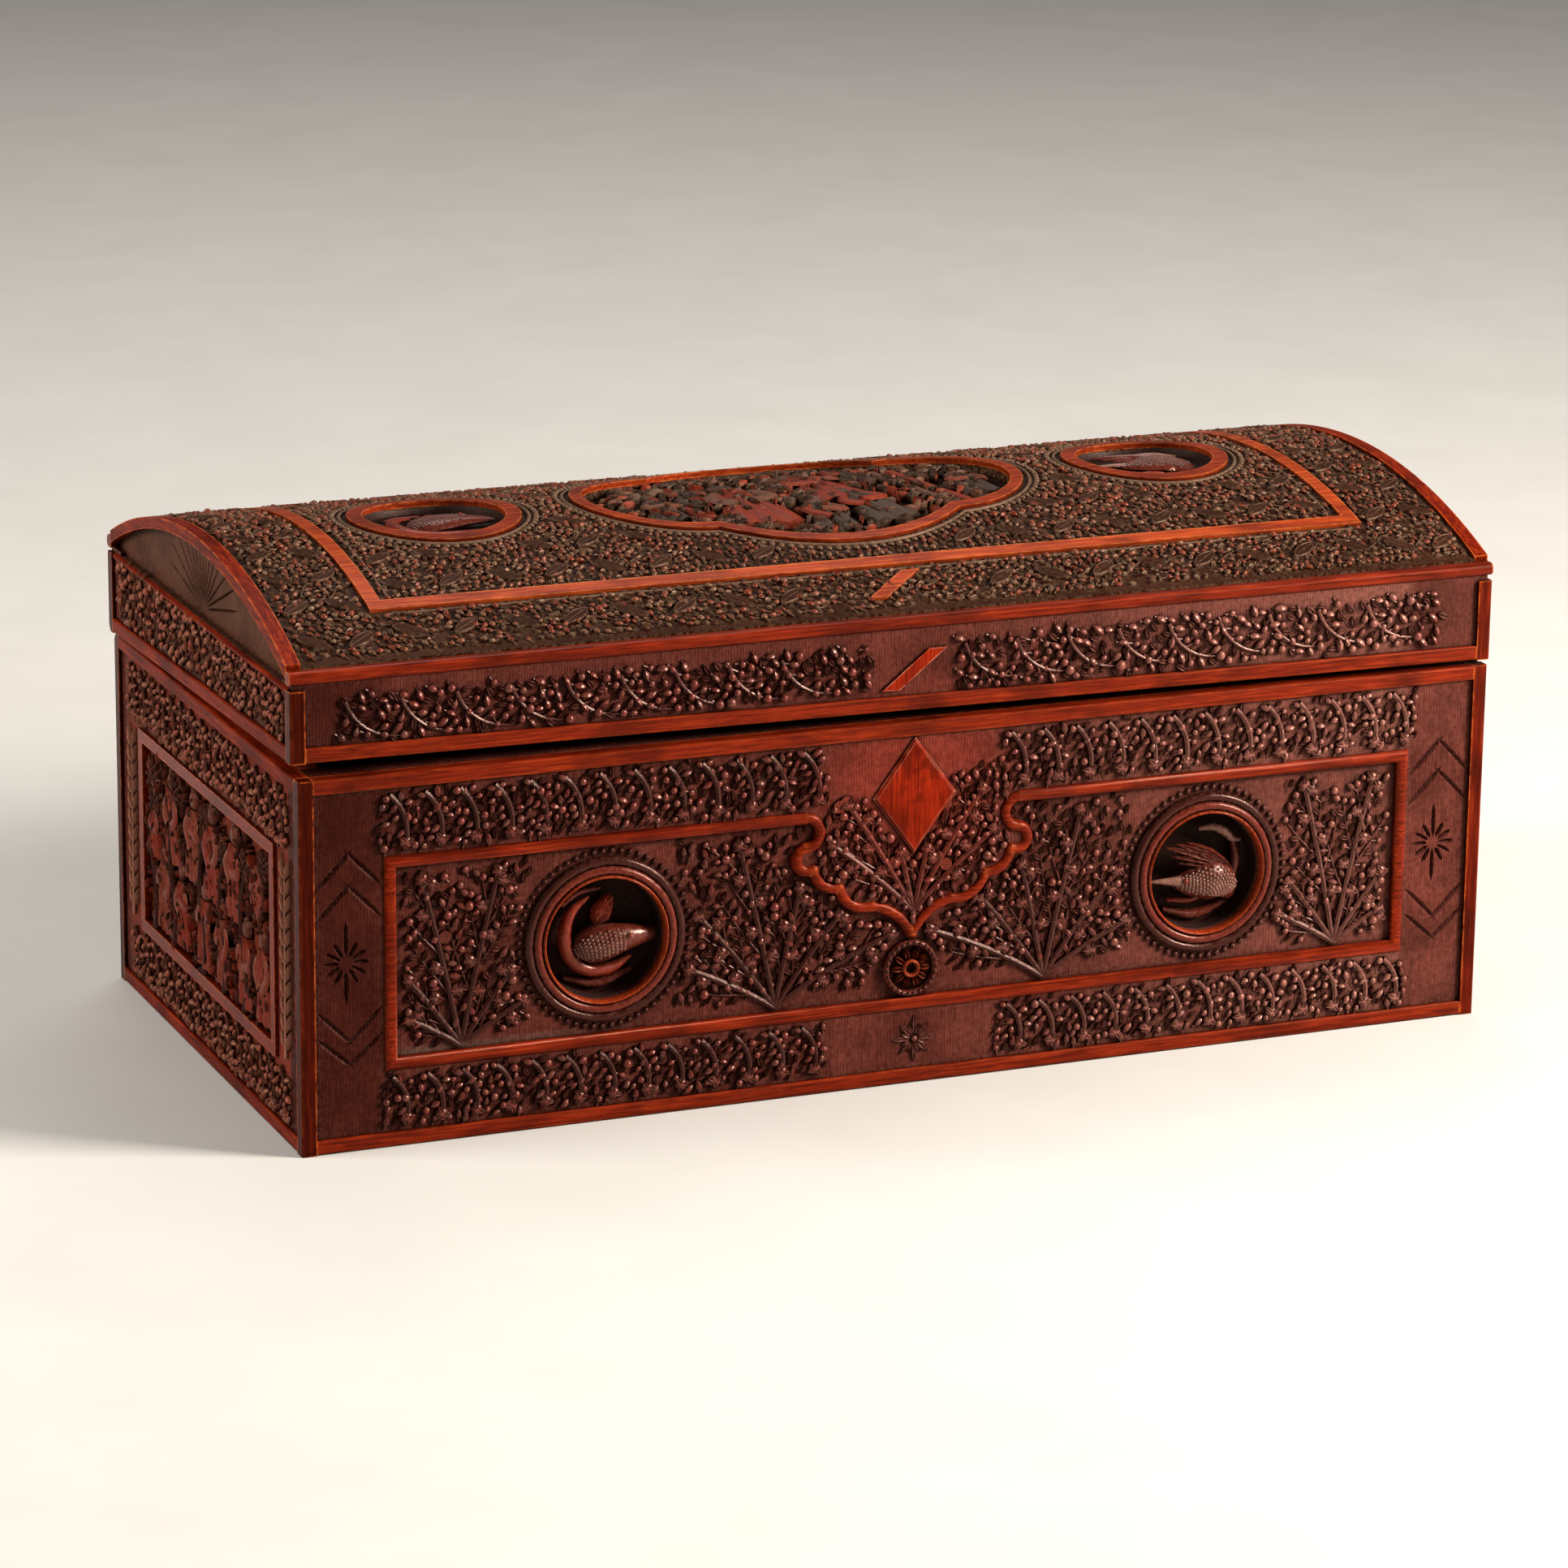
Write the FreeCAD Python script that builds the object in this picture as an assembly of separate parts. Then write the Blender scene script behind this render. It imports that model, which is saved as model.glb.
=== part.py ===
import FreeCAD, Part
import math
import os

# Carved sandalwood box with a domed lid on two butt hinges.  Sizes are in millimetres.
# X runs along the length, the front faces -Y and Z is up.  The origin is the middle of the underside.

# Base box
base_length = 320.0
base_depth = 154.0
base_height = 94.0
front_board_thickness = 10.0
back_board_thickness = 8.0
end_board_thickness = 8.0
bottom_board_thickness = 7.0

# Polished edging strips, square in section, let into the edges of the base and the lid
strip_size = 3.8
strip_proud = 1.0
strip_rounding = 0.6

# Sunk panels on the front and the ends of the base, each with a moulding round it
front_panel_margin = 21.5
end_panel_margin = 20.5
panel_bottom = 19.2
panel_top_margin = 20.6
panel_sink = 1.2
moulding_width = 3.2
moulding_proud = 1.0

# Scalloped bracket at the middle of the front panel's top moulding
# Each station is half the width between the two sides, and the share of the bracket's drop
bracket_width = 2.7
bracket_boss_gap = 0.35
hook_radius = 3.9
bracket_stations = [(28.9, 0.238), (26.7, 0.405), (19.7, 0.576), (10.7, 0.75), (0.0, 1.0)]
bracket_bulges = [3.5, 1.9, 2.2, -1.6]

# Diamond plaque on the front
diamond_half_width = 11.2
diamond_half_height = 15.0
diamond_below_top = 19.0
diamond_proud = 1.0
diamond_bevel = 0.5

# Rosette boss below the bracket
boss_radius = 7.4
boss_hole_radius = 2.0
boss_height = 2.2
boss_roll = 2.2
boss_groove_floor = 0.8
boss_rim_height = 1.1
boss_clearance = 0.1

# Front roundels, each a ring round a deep hole with a bird in it
roundel_end_margin = 57.0
roundel_moulding_gap = 2.9
roundel_lip_width = 2.0
roundel_groove_width = 1.1
roundel_roll_width = 2.4
roundel_ring_height = 2.2
roundel_roll_drop = 0.3
roundel_groove_floor = 0.4
roundel_hole_depth = 7.5
bird_length = 22.0
bird_lift = 0.0
bird_clearance = 0.4

# Lid rim
lid_overhang = 1.3
lid_setback = 1.5
lid_rim_height = 26.3
lid_board_thickness = 8.0
seam_front_left = 4.0
seam_front_right = 1.0
seam_back = 0.6
corner_strip_drop = 1.3
end_band_drop = 0.9
gable_setback = 1.5

# Dome
dome_rise = 16.9
dome_sink = 0.8
dome_thickness = 6.0
bead_height = 3.2
bead_depth = 3.2
bead_rounding = 1.3
arch_strip_thickness = 3.0

# Ornament on the dome
inlay_depth = 0.6
frame_end_margin = 27.3
frame_side_margin = 21.25
frame_strip_width = 3.8
frame_proud = 0.9
cartouche_side_offset = 32.3
cartouche_side_radius = 25.2
cartouche_middle_radius = 44.2
cartouche_half_depth = 38.5
cartouche_rim_width = 3.2
rim_proud = 1.0
dome_pocket_depth = 3.4
scene_floor_thickness = 0.6
scene_relief = 2.2
dome_roundel_share = 0.544
dome_roundel_hole_radius = 18.0
dome_roundel_rim_width = 4.0
dome_bird_length = 25.0
dome_bird_lift = -3.6

# Carved scenes in the cartouche and on the ends.  Each figure is its foot, height and lean in degrees,
# each clump of leaves its middle and radius, and each beam its two ends.
# A robe's half width at each rise and its head are shares of the figure's height.
robe_stations = [(0.0, 0.27), (0.3, 0.21), (0.5, 0.16), (0.64, 0.19), (0.78, 0.08)]
head_rise = 0.87
head_share = 0.11
beam_width = 2.6
scene_beams = [(-41.0, 21.0, -49.0, 0.0), (-41.0, 21.0, -30.0, -18.0), (26.0, 13.0, 34.0, -20.0),
               (31.0, 13.0, 39.0, -20.0)]
scene_figures = [(-17.0, -24.0, 40.0, 0.0), (10.0, -9.0, 34.0, 10.0), (16.0, -27.0, 28.0, 12.0),
                 (-40.0, -16.0, 20.0, 0.0), (46.0, -14.0, 22.0, 0.0), (-1.0, -31.0, 24.0, -4.0),
                 (20.0, 6.0, 20.0, 6.0), (-30.0, -6.0, 20.0, -6.0)]
scene_clumps = [(-4.0, 27.0, 6.0), (12.0, 29.0, 5.0), (-24.0, 21.0, 5.5), (33.0, 19.0, 4.5),
                (47.0, 13.0, 4.0), (-50.0, -9.0, 4.0), (-26.0, -20.0, 4.5), (-8.0, -31.0, 4.0),
                (-6.0, 6.0, 5.0)]
# On the ends a place is given by its gaps from the left and the lower edge of the sunk field,
# or, where they are negative, from the right and the upper edge.
end_figures = [(8.3, -28.2, 16.0, 0.0), (23.8, -25.7, 24.5, 3.0), (40.8, -25.7, 24.5, -3.0),
               (-48.8, -25.7, 24.5, 2.0), (-31.8, -25.7, 24.5, -2.0), (15.3, 2.0, 23.0, -3.0),
               (32.3, 2.0, 22.0, 4.0), (49.3, 2.0, 23.0, -4.0), (-40.3, 2.0, 22.0, 3.0),
               (-23.3, 2.0, 23.0, -4.0), (-7.8, 2.0, 24.0, 2.0)]
end_clumps = [(7.3, -7.2, 5.5), (-14.3, -14.2, 6.5), (-6.3, -5.2, 4.0)]

# Slanted lozenges on the lid
lozenge_width = 4.9
lozenge_slant = 12.6
lozenge_height = 10.0
lozenge_proud = 0.8
lid_lozenge_rise = 1.6
dome_lozenge_inset = 8.3

# Main lines of the carved foliage: stems with berries on the front, leaves on the dome
# Headings are in degrees from the right, and a stem bends away from upright by a share of its lean
foliage_height = 0.9
foliage_seat = 0.3
foliage_gap = 3.2
stem_width = 1.3
stem_curl = 0.35
stem_reach = 46.0
stem_step = 1.0
stem_shortest = 10.0
berry_radius = 1.6
berry_pitch = 7.0
berry_offset = 2.0
berry_clearance = 0.5
spray_headings = [34.0, 56.0, 79.0, 101.0, 124.0, 146.0]
tongue_headings = [46.0, 62.0, 78.0, 102.0, 118.0, 134.0]
spray_root_rise = 1.2
tongue_root_rise = 6.2
inner_spray_share = 0.45
band_start = 23.5
band_end_margin = 20.5
band_gap = 1.5
twig_count = 6
twig_lean = 0.3
twig_bulge = 1.6
leaf_pitch = 14.0
leaf_length = 9.0
leaf_width = 3.2
leaf_heading = 35.0
leaf_gap = 8.0

# Butt hinges
hinge_end_margin = 48.0
hinge_length = 34.0
hinge_leaf_width = 6.7
hinge_leaf_thickness = 1.0
knuckle_radius = 2.0
pin_radius = 0.9
pin_clearance = 0.05
knuckle_end_clearance = 0.25
knuckle_clearance = 0.35
back_bevel_angle = 53.5
screw_shank_radius = 0.8
screw_head_radius = 1.7
screw_head_height = 0.9
screw_length = 6.0
screw_pitch = 12.0


def vec(x, y, z):
    return FreeCAD.Vector(x, y, z)


def box(x0, x1, y0, y1, z0, z1):
    return Part.makeBox(x1 - x0, y1 - y0, z1 - z0, vec(x0, y0, z0))


def prism(corners, direction):
    wire = Part.makePolygon(corners + corners[:1])
    return Part.Face(wire).extrude(direction)


def prism_xz(points, y0, y1):
    return prism([vec(x, y0, z) for x, z in points], vec(0, y1 - y0, 0))


def prism_yz(points, x0, x1):
    return prism([vec(x0, y, z) for y, z in points], vec(x1 - x0, 0, 0))


def prism_xy(points, z0, z1):
    return prism([vec(x, y, z0) for x, y in points], vec(0, 0, z1 - z0))


def fused(shapes):
    whole = shapes[0].fuse(shapes[1:])
    return whole.removeSplitter()


def along(start, end, position):
    # Height at a position on the straight line between two (position, height) points
    share = (position - start[0]) / (end[0] - start[0])
    return start[1] + share * (end[1] - start[1])


def round_outer_edges(shape, axis, value, radius):
    # Rounds the long edges that lie on the outer plane of a strip
    chosen = []
    for edge in shape.Edges:
        on_plane = all(abs(vertex.Point[axis] - value) < 1e-6 for vertex in edge.Vertexes)
        if on_plane and edge.Length > 2.0 * strip_size:
            chosen.append(edge)
    return shape.makeFillet(radius, chosen)


def round_corner_edge(shape, x, y, radius):
    # Rounds the upright edge at the outer corner of a corner strip
    chosen = []
    for edge in shape.Edges:
        if all(abs(v.X - x) < 1e-6 and abs(v.Y - y) < 1e-6 for v in edge.Vertexes):
            chosen.append(edge)
    return shape.makeFillet(radius, chosen)


def spheroid(centre, direction, half_length, half_width):
    # A ball stretched along one direction
    stretch = FreeCAD.Matrix()
    stretch.scale(half_length / half_width, 1.0, 1.0)
    solid = Part.makeSphere(half_width).transformGeometry(stretch)
    turn = FreeCAD.Rotation(vec(1, 0, 0), direction)
    solid.Placement = FreeCAD.Placement(centre, turn)
    return solid


parts = {}

# Main planes of the base
half_length = base_length / 2
half_depth = base_depth / 2
face_x = half_length - strip_proud
face_front = -half_depth + strip_proud
face_back = half_depth - strip_proud
inner_x = face_x - end_board_thickness
inner_front = face_front + front_board_thickness
inner_back = face_back - back_board_thickness
inset_x = half_length - strip_size
inset_y = half_depth - strip_size
sides = (("left", -1), ("right", 1))
ends = (("front", -1), ("back", 1))

# Base boards as plain blocks
base_front = box(-face_x, face_x, face_front, inner_front, 0, base_height)
base_back = box(-face_x, face_x, inner_back, face_back, 0, base_height)
base_ends = {}
for side, sign in sides:
    x_low = min(sign * inner_x, sign * face_x)
    base_ends[side] = box(x_low, x_low + end_board_thickness, inner_front, inner_back, 0, base_height)
parts["base_bottom_board"] = box(-inner_x, inner_x, inner_front, inner_back, 0, bottom_board_thickness)

# Hinge axis, and the bevels along the back edges that let the lid swing past upright
axis_y = half_depth - knuckle_radius
axis_z = base_height + seam_back / 2
bevel_run = 2.0 * knuckle_radius
bevel_fall = bevel_run * math.tan(math.radians(back_bevel_angle))
bevel_reach = half_length + 2.0 * lid_overhang + strip_size
base_bevel = prism_yz(
    [(axis_y, axis_z), (axis_y + bevel_run, axis_z), (axis_y + bevel_run, axis_z - bevel_fall)],
    -bevel_reach, bevel_reach)
lid_bevel = prism_yz(
    [(axis_y, axis_z), (axis_y + bevel_run, axis_z), (axis_y + bevel_run, axis_z + bevel_fall)],
    -bevel_reach, bevel_reach)

# Edging strips of the base
base_strips = {}
for end, y_sign in ends:
    y_outer = y_sign * half_depth
    y_low = min(y_outer, y_sign * inset_y)
    for side, x_sign in sides:
        x_outer = x_sign * half_length
        x_low = min(x_outer, x_sign * inset_x)
        corner = box(x_low, x_low + strip_size, y_low, y_low + strip_size, 0, base_height)
        corner = round_corner_edge(corner, x_outer, y_outer, strip_rounding)
        base_strips["base_%s_%s_corner_strip" % (end, side)] = corner
    for level, z_low in (("bottom", 0.0), ("top", base_height - strip_size)):
        rail = box(-inset_x, inset_x, y_low, y_low + strip_size, z_low, z_low + strip_size)
        base_strips["base_%s_%s_rail" % (end, level)] = round_outer_edges(rail, 1, y_outer, strip_rounding)
for side, x_sign in sides:
    x_outer = x_sign * half_length
    x_low = min(x_outer, x_sign * inset_x)
    for level, z_low in (("bottom", 0.0), ("top", base_height - strip_size)):
        rail = box(x_low, x_low + strip_size, -inset_y, inset_y, z_low, z_low + strip_size)
        base_strips["base_%s_%s_rail" % (side, level)] = round_outer_edges(rail, 0, x_outer, strip_rounding)
strip_blocks = list(base_strips.values())
for name in ("base_back_top_rail", "base_back_left_corner_strip", "base_back_right_corner_strip"):
    base_strips[name] = base_strips[name].cut(base_bevel)

# Path of the front moulding: the bracket hangs from the top line to a tip just over the boss
panel_top = base_height - panel_top_margin
panel_half = half_length - front_panel_margin
top_line = panel_top - moulding_width / 2
boss_z = panel_bottom + moulding_width + boss_clearance + boss_radius
bracket_tip_z = boss_z + boss_radius + bracket_boss_gap + bracket_width / 2
bracket_drop = top_line - bracket_tip_z


def bracket_points(sign):
    # Stations of the bracket on one side, in x and z
    return [(sign * x, top_line - share * bracket_drop) for x, share in bracket_stations]


def bulged_middle(start, end, bulge, sign):
    # Middle point of an arc that bulges away from the line between two stations
    dx = end[0] - start[0]
    dz = end[1] - start[1]
    length = math.hypot(dx, dz)
    middle_x = (start[0] + end[0]) / 2 - sign * bulge * dz / length
    middle_z = (start[1] + end[1]) / 2 + sign * bulge * dx / length
    return (middle_x, middle_z)


def circle_through(start, middle, end):
    # Centre of the circle through three points, in x and z
    ax, az = start
    bx, bz = middle
    cx, cz = end
    d = 2 * (ax * (bz - cz) + bx * (cz - az) + cx * (az - bz))
    a2 = ax * ax + az * az
    b2 = bx * bx + bz * bz
    c2 = cx * cx + cz * cz
    ux = (a2 * (bz - cz) + b2 * (cz - az) + c2 * (az - bz)) / d
    uz = (a2 * (cx - bx) + b2 * (ax - cx) + c2 * (bx - ax)) / d
    return (ux, uz)


def arc_bar(start, middle, end, width, y0, y1):
    # A bar of even width along an arc, from one depth to another
    centre = circle_through(start, middle, end)
    radius = math.hypot(start[0] - centre[0], start[1] - centre[1])

    def at(point, new_radius):
        share = new_radius / radius
        x = centre[0] + (point[0] - centre[0]) * share
        z = centre[1] + (point[1] - centre[1]) * share
        return vec(x, y0, z)

    outer = radius + width / 2
    inner = radius - width / 2
    edges = [
        Part.Arc(at(start, outer), at(middle, outer), at(end, outer)).toShape(),
        Part.makeLine(at(end, outer), at(end, inner)),
        Part.Arc(at(end, inner), at(middle, inner), at(start, inner)).toShape(),
        Part.makeLine(at(start, inner), at(start, outer)),
    ]
    return Part.Face(Part.Wire(edges)).extrude(vec(0, y1 - y0, 0))


def joint_disc(point, width, y0, y1):
    return Part.makeCylinder(width / 2, y1 - y0, vec(point[0], y0, point[1]), vec(0, 1, 0))


# Front panel moulding
field_y = face_front + panel_sink
moulding_y = face_front - moulding_proud
bars = [
    box(-panel_half, -panel_half + moulding_width, moulding_y, field_y, panel_bottom, panel_top),
    box(panel_half - moulding_width, panel_half, moulding_y, field_y, panel_bottom, panel_top),
    box(-panel_half, panel_half, moulding_y, field_y, panel_bottom, panel_bottom + moulding_width),
]
tongue_edges = []
hook_x = bracket_stations[0][0]
for side, sign in sides:
    rail_low = min(sign * panel_half, sign * hook_x)
    rail_high = max(sign * panel_half, sign * hook_x)
    bars.append(box(rail_low, rail_high, moulding_y, field_y, top_line - bracket_width / 2, panel_top))
    hook_top = (sign * hook_x, top_line)
    stations = bracket_points(sign)
    hook_tip = (sign * (hook_x - hook_radius), (top_line + stations[0][1]) / 2)
    bars.append(arc_bar(hook_top, hook_tip, stations[0], bracket_width, moulding_y, field_y))
    hook = [vec(px, face_front, pz) for px, pz in (hook_top, hook_tip, stations[0])]
    tongue_side = [Part.makeLine(vec(sign * hook_x, face_front, panel_top), hook[0])]
    tongue_side.append(Part.Arc(*hook).toShape())
    for start, end, bulge in zip(stations, stations[1:], bracket_bulges):
        middle = bulged_middle(start, end, bulge, sign)
        bars.append(joint_disc(start, bracket_width, moulding_y, field_y))
        bars.append(arc_bar(start, middle, end, bracket_width, moulding_y, field_y))
        through = [vec(px, face_front, pz) for px, pz in (start, middle, end)]
        tongue_side.append(Part.Arc(*through).toShape())
    tongue_edges.append(tongue_side)
bars.append(joint_disc(bracket_points(1)[-1], bracket_width, moulding_y, field_y))
front_moulding = fused(bars)
parts["front_panel_moulding"] = front_moulding

# Sunk field of the front panel, which leaves the tongue inside the bracket standing
tongue_top = Part.makeLine(vec(-hook_x, face_front, panel_top), vec(hook_x, face_front, panel_top))
tongue_wire = Part.Wire(Part.__sortEdges__(tongue_edges[0] + tongue_edges[1] + [tongue_top]))
tongue = Part.Face(tongue_wire).extrude(vec(0, panel_sink, 0))
half_moulding = moulding_width / 2
front_field = box(-panel_half + half_moulding, panel_half - half_moulding, face_front, field_y,
                  panel_bottom + half_moulding, panel_top - half_moulding).cut(tongue)
base_front = base_front.cut([front_field, front_moulding])

# Diamond plaque with bevelled edges
diamond_z = base_height - diamond_below_top
diamond_seat = [(0, diamond_half_height), (diamond_half_width, 0), (0, -diamond_half_height),
                (-diamond_half_width, 0)]


def diamond_wire(y, inset):
    across = 1.0 - inset / diamond_half_width
    up = 1.0 - inset / diamond_half_height
    corners = [vec(x * across, y, diamond_z + z * up) for x, z in diamond_seat]
    return Part.makePolygon(corners + corners[:1])


diamond_edge_y = face_front - diamond_proud + diamond_bevel
diamond_slab = Part.Face(diamond_wire(face_front, 0.0)).extrude(vec(0, diamond_edge_y - face_front, 0))
diamond_top = Part.makeLoft([diamond_wire(diamond_edge_y, 0.0),
                             diamond_wire(face_front - diamond_proud, 2.0 * diamond_bevel)], True, True)
parts["diamond_plaque"] = diamond_slab.fuse(diamond_top)


def turned(profile, x, y, z):
    # Turns a closed profile of (radius, height) edges about an axis that points out of the front
    face = Part.Face(Part.Wire(profile))
    solid = face.revolve(vec(0, 0, 0), vec(0, 0, 1), 360)
    solid.Placement = FreeCAD.Placement(vec(x, y, z), FreeCAD.Rotation(vec(0, 0, 1), vec(0, -1, 0)))
    return solid


def line(r0, h0, r1, h1):
    return Part.makeLine(vec(r0, 0, h0), vec(r1, 0, h1))


def half_round(r0, r1, h):
    # Top half of a round roll between two radii
    rise = (r1 - r0) / 2
    return Part.Arc(vec(r0, 0, h), vec((r0 + r1) / 2, 0, h + rise), vec(r1, 0, h)).toShape()


# Rosette boss: an outer roll and an inner ring of petals round a hollow
boss_step = boss_hole_radius + boss_roll
boss_profile = [
    line(boss_hole_radius, 0, boss_hole_radius, boss_height - boss_roll / 2),
    half_round(boss_hole_radius, boss_step, boss_height - boss_roll / 2),
    line(boss_step, boss_height - boss_roll / 2, boss_step, boss_groove_floor),
    line(boss_step, boss_groove_floor, boss_radius - boss_roll, boss_groove_floor),
    line(boss_radius - boss_roll, boss_groove_floor, boss_radius - boss_roll, boss_rim_height),
    half_round(boss_radius - boss_roll, boss_radius, boss_rim_height),
    line(boss_radius, boss_rim_height, boss_radius, 0),
    line(boss_radius, 0, boss_hole_radius, 0),
]
parts["rosette_boss"] = turned(boss_profile, 0, field_y, boss_z)

# Front roundels: a ring with a lip, a groove and a roll, round a deep hole
roundel_z = (panel_bottom + panel_top) / 2
roundel_offset = panel_half - roundel_end_margin
roll_end = (panel_top - panel_bottom) / 2 - moulding_width - roundel_moulding_gap
roll_start = roll_end - roundel_roll_width
lip_end = roll_start - roundel_groove_width
roundel_hole_radius = lip_end - roundel_lip_width
lip_spring = roundel_ring_height - roundel_lip_width / 2
roll_spring = roundel_ring_height - roundel_roll_drop - roundel_roll_width / 2
ring_profile = [
    line(roundel_hole_radius, 0, roundel_hole_radius, lip_spring),
    half_round(roundel_hole_radius, lip_end, lip_spring),
    line(lip_end, lip_spring, lip_end, roundel_groove_floor),
    line(lip_end, roundel_groove_floor, roll_start, roundel_groove_floor),
    line(roll_start, roundel_groove_floor, roll_start, roll_spring),
    half_round(roll_start, roll_end, roll_spring),
    line(roll_end, roll_spring, roll_end, 0),
    line(roll_end, 0, roundel_hole_radius, 0),
]


def carved_bird(length, lift, facing, placement, hole):
    # A resting bird inside a hole.  In its own frame x is right, y up and z out of the wood.
    unit = length / 22.0

    def place(x, y, z):
        return vec(facing * x * unit, y * unit, z * unit + lift)

    body = spheroid(place(-1.5, -2.5, 1.6), vec(facing, 0.35, 0), 7.6 * unit, 4.6 * unit)
    neck = spheroid(place(4.0, 2.6, 2.0), vec(facing * 0.5, 1.0, 0), 4.6 * unit, 2.4 * unit)
    head = Part.makeSphere(2.7 * unit, place(5.6, 5.6, 2.2))
    beak = Part.makeCone(1.1 * unit, 0.25 * unit, 4.0 * unit, place(7.4, 5.4, 2.2), vec(facing, -0.25, 0))
    wing = spheroid(place(-2.6, 0.4, 4.4), vec(facing * -1.0, 0.45, 0), 6.4 * unit, 2.4 * unit)
    tail = spheroid(place(-8.2, 3.2, 1.4), vec(facing * -0.55, 1.0, 0), 6.2 * unit, 1.9 * unit)
    branch = spheroid(place(0.5, -8.0, 0.8), vec(facing, -0.12, 0), 11.0 * unit, 1.5 * unit)
    limbs = []
    for limb in (body, neck, head, beak, wing, tail, branch):
        limb.Placement = placement.multiply(limb.Placement)
        limbs.append(limb.common(hole))
    return fused(limbs)


hole_floor = face_front + roundel_hole_depth
for side, sign in sides:
    x = sign * roundel_offset
    parts["front_%s_roundel_ring" % side] = turned(ring_profile, x, field_y, roundel_z)
    foot = vec(x, hole_floor, roundel_z)
    outwards = vec(0, -1, 0)
    base_front = base_front.cut(Part.makeCylinder(roundel_hole_radius, roundel_hole_depth, foot, outwards))
    seat = FreeCAD.Placement(foot, FreeCAD.Rotation(vec(1, 0, 0), 90))
    bird_room = Part.makeCylinder(roundel_hole_radius - bird_clearance, roundel_hole_depth, foot, outwards)
    parts["front_%s_bird" % side] = carved_bird(bird_length, bird_lift, -sign, seat, bird_room)

bracket_line = Part.makeCompound(tongue_edges[0] + tongue_edges[1])


def clear_of_bracket(x, z):
    # Whether a berry would be clear of the bracket's sides
    distance = bracket_line.distToShape(Part.Vertex(x, face_front, z))[0]
    return distance > bracket_width / 2 + berry_radius + berry_clearance


def in_front_field(x, z):
    # Whether a stem on the sunk field is clear of the moulding, the roundels, the boss and the bracket
    across = abs(x)
    if across > panel_half - moulding_width - foliage_gap or z > panel_top - moulding_width - foliage_gap:
        return False
    if math.hypot(across - roundel_offset, z - roundel_z) < roll_end + foliage_gap:
        return False
    if math.hypot(x, z - boss_z) < boss_radius + foliage_gap:
        return False
    return clear_of_bracket(x, z)


def in_tongue(x, z):
    # Whether a stem inside the bracket is clear of its sides and of the diamond
    across = abs(x) / (diamond_half_width + foliage_gap)
    up = abs(z - diamond_z) / (diamond_half_height + foliage_gap)
    return z < diamond_z and across + up > 1.0 and clear_of_bracket(x, z)


def stem_point(root, heading, distance):
    # Point on a stem at a distance from its root
    bend = (heading - 90.0) * stem_curl * distance / stem_reach
    angle = math.radians(heading + bend / 2)
    return (root[0] + distance * math.cos(angle), root[1] + distance * math.sin(angle))


def stem_length(root, heading, inside):
    # How far a stem grows before it leaves its ground
    length = 0.0
    while length < stem_reach and inside(*stem_point(root, heading, length + stem_step)):
        length += stem_step
    return length


def berry(point, ground_y):
    return joint_disc(point, 2 * berry_radius, ground_y - foliage_height, ground_y + foliage_seat)


def berried_stem(start, middle, end, ground_y):
    # Raised stem along an arc with a berry at its end
    bar = arc_bar(start, middle, end, stem_width, ground_y - foliage_height, ground_y + foliage_seat)
    return [bar, berry(end, ground_y)]


def side_berries(root, heading, length, inside):
    # Places of berries by turns on the left and the right of a stem, from its second pitch on
    places = []
    for step in range(2, int(length / berry_pitch) + 1):
        x, z = stem_point(root, heading, step * berry_pitch)
        aside = math.radians(heading + (90.0 if step % 2 else -90.0))
        place = (x + berry_offset * math.cos(aside), z + berry_offset * math.sin(aside))
        if inside(*place):
            places.append(place)
    return places


def spray(root, headings, inside, ground_y):
    # Fan of berried stems from one root
    shapes = []
    for heading in headings:
        length = stem_length(root, heading, inside)
        if length >= stem_shortest:
            arc = [stem_point(root, heading, length * share) for share in (0.0, 0.5, 1.0)]
            shapes += berried_stem(*arc, ground_y)
            shapes += [berry(place, ground_y) for place in side_berries(root, heading, length, inside)]
    return shapes


def band_of_twigs(x_low, x_high, z_low, z_high):
    # Hanging twigs side by side, each with a berry at its foot
    pitch = (x_high - x_low) / (2 * twig_count + 1)
    lean = twig_lean * (z_high - z_low) / 2
    shapes = []
    for step in range(twig_count):
        x = x_low + (2 * step + 1.5) * pitch
        middle = (x + twig_bulge, (z_low + z_high) / 2 + twig_bulge)
        shapes += berried_stem((x - lean, z_high), middle, (x + lean, z_low + berry_radius), face_front)
    return shapes


# Foliage on the front: sprays beside the roundels and in the tongue, twigs over and under the panel
spray_z = panel_bottom + moulding_width + spray_root_rise
outer_spray_x = (panel_half - moulding_width + roundel_offset + roll_end) / 2
inner_spray_x = (roundel_offset - roll_end) * (1.0 - inner_spray_share) + boss_radius * inner_spray_share
band_end = half_length - band_end_margin
top_band = (panel_top + band_gap, base_height - strip_size - band_gap)
bottom_band = (strip_size + band_gap, panel_bottom - band_gap)
front_foliage = spray((0.0, bracket_tip_z + tongue_root_rise), tongue_headings, in_tongue, face_front)
for side, sign in sides:
    for root_x in (outer_spray_x, inner_spray_x):
        front_foliage += spray((sign * root_x, spray_z), spray_headings, in_front_field, field_y)
    for band in (top_band, bottom_band):
        x_low = min(sign * band_start, sign * band_end)
        front_foliage += band_of_twigs(x_low, x_low + band_end - band_start, *band)
base_front = base_front.fuse(front_foliage).removeSplitter()


def leaned(foot, lean, across, up):
    # Point beside and above the foot of a leaning figure
    angle = math.radians(lean)
    return (foot[0] + across * math.cos(angle) - up * math.sin(angle),
            foot[1] + across * math.sin(angle) + up * math.cos(angle))


def robe_outline(foot, height, lean):
    # Corners of a robe, up its right side and down its left
    right = [leaned(foot, lean, half * height, rise * height) for rise, half in robe_stations]
    left = [leaned(foot, lean, -half * height, rise * height) for rise, half in robe_stations]
    return right + left[::-1]


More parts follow.
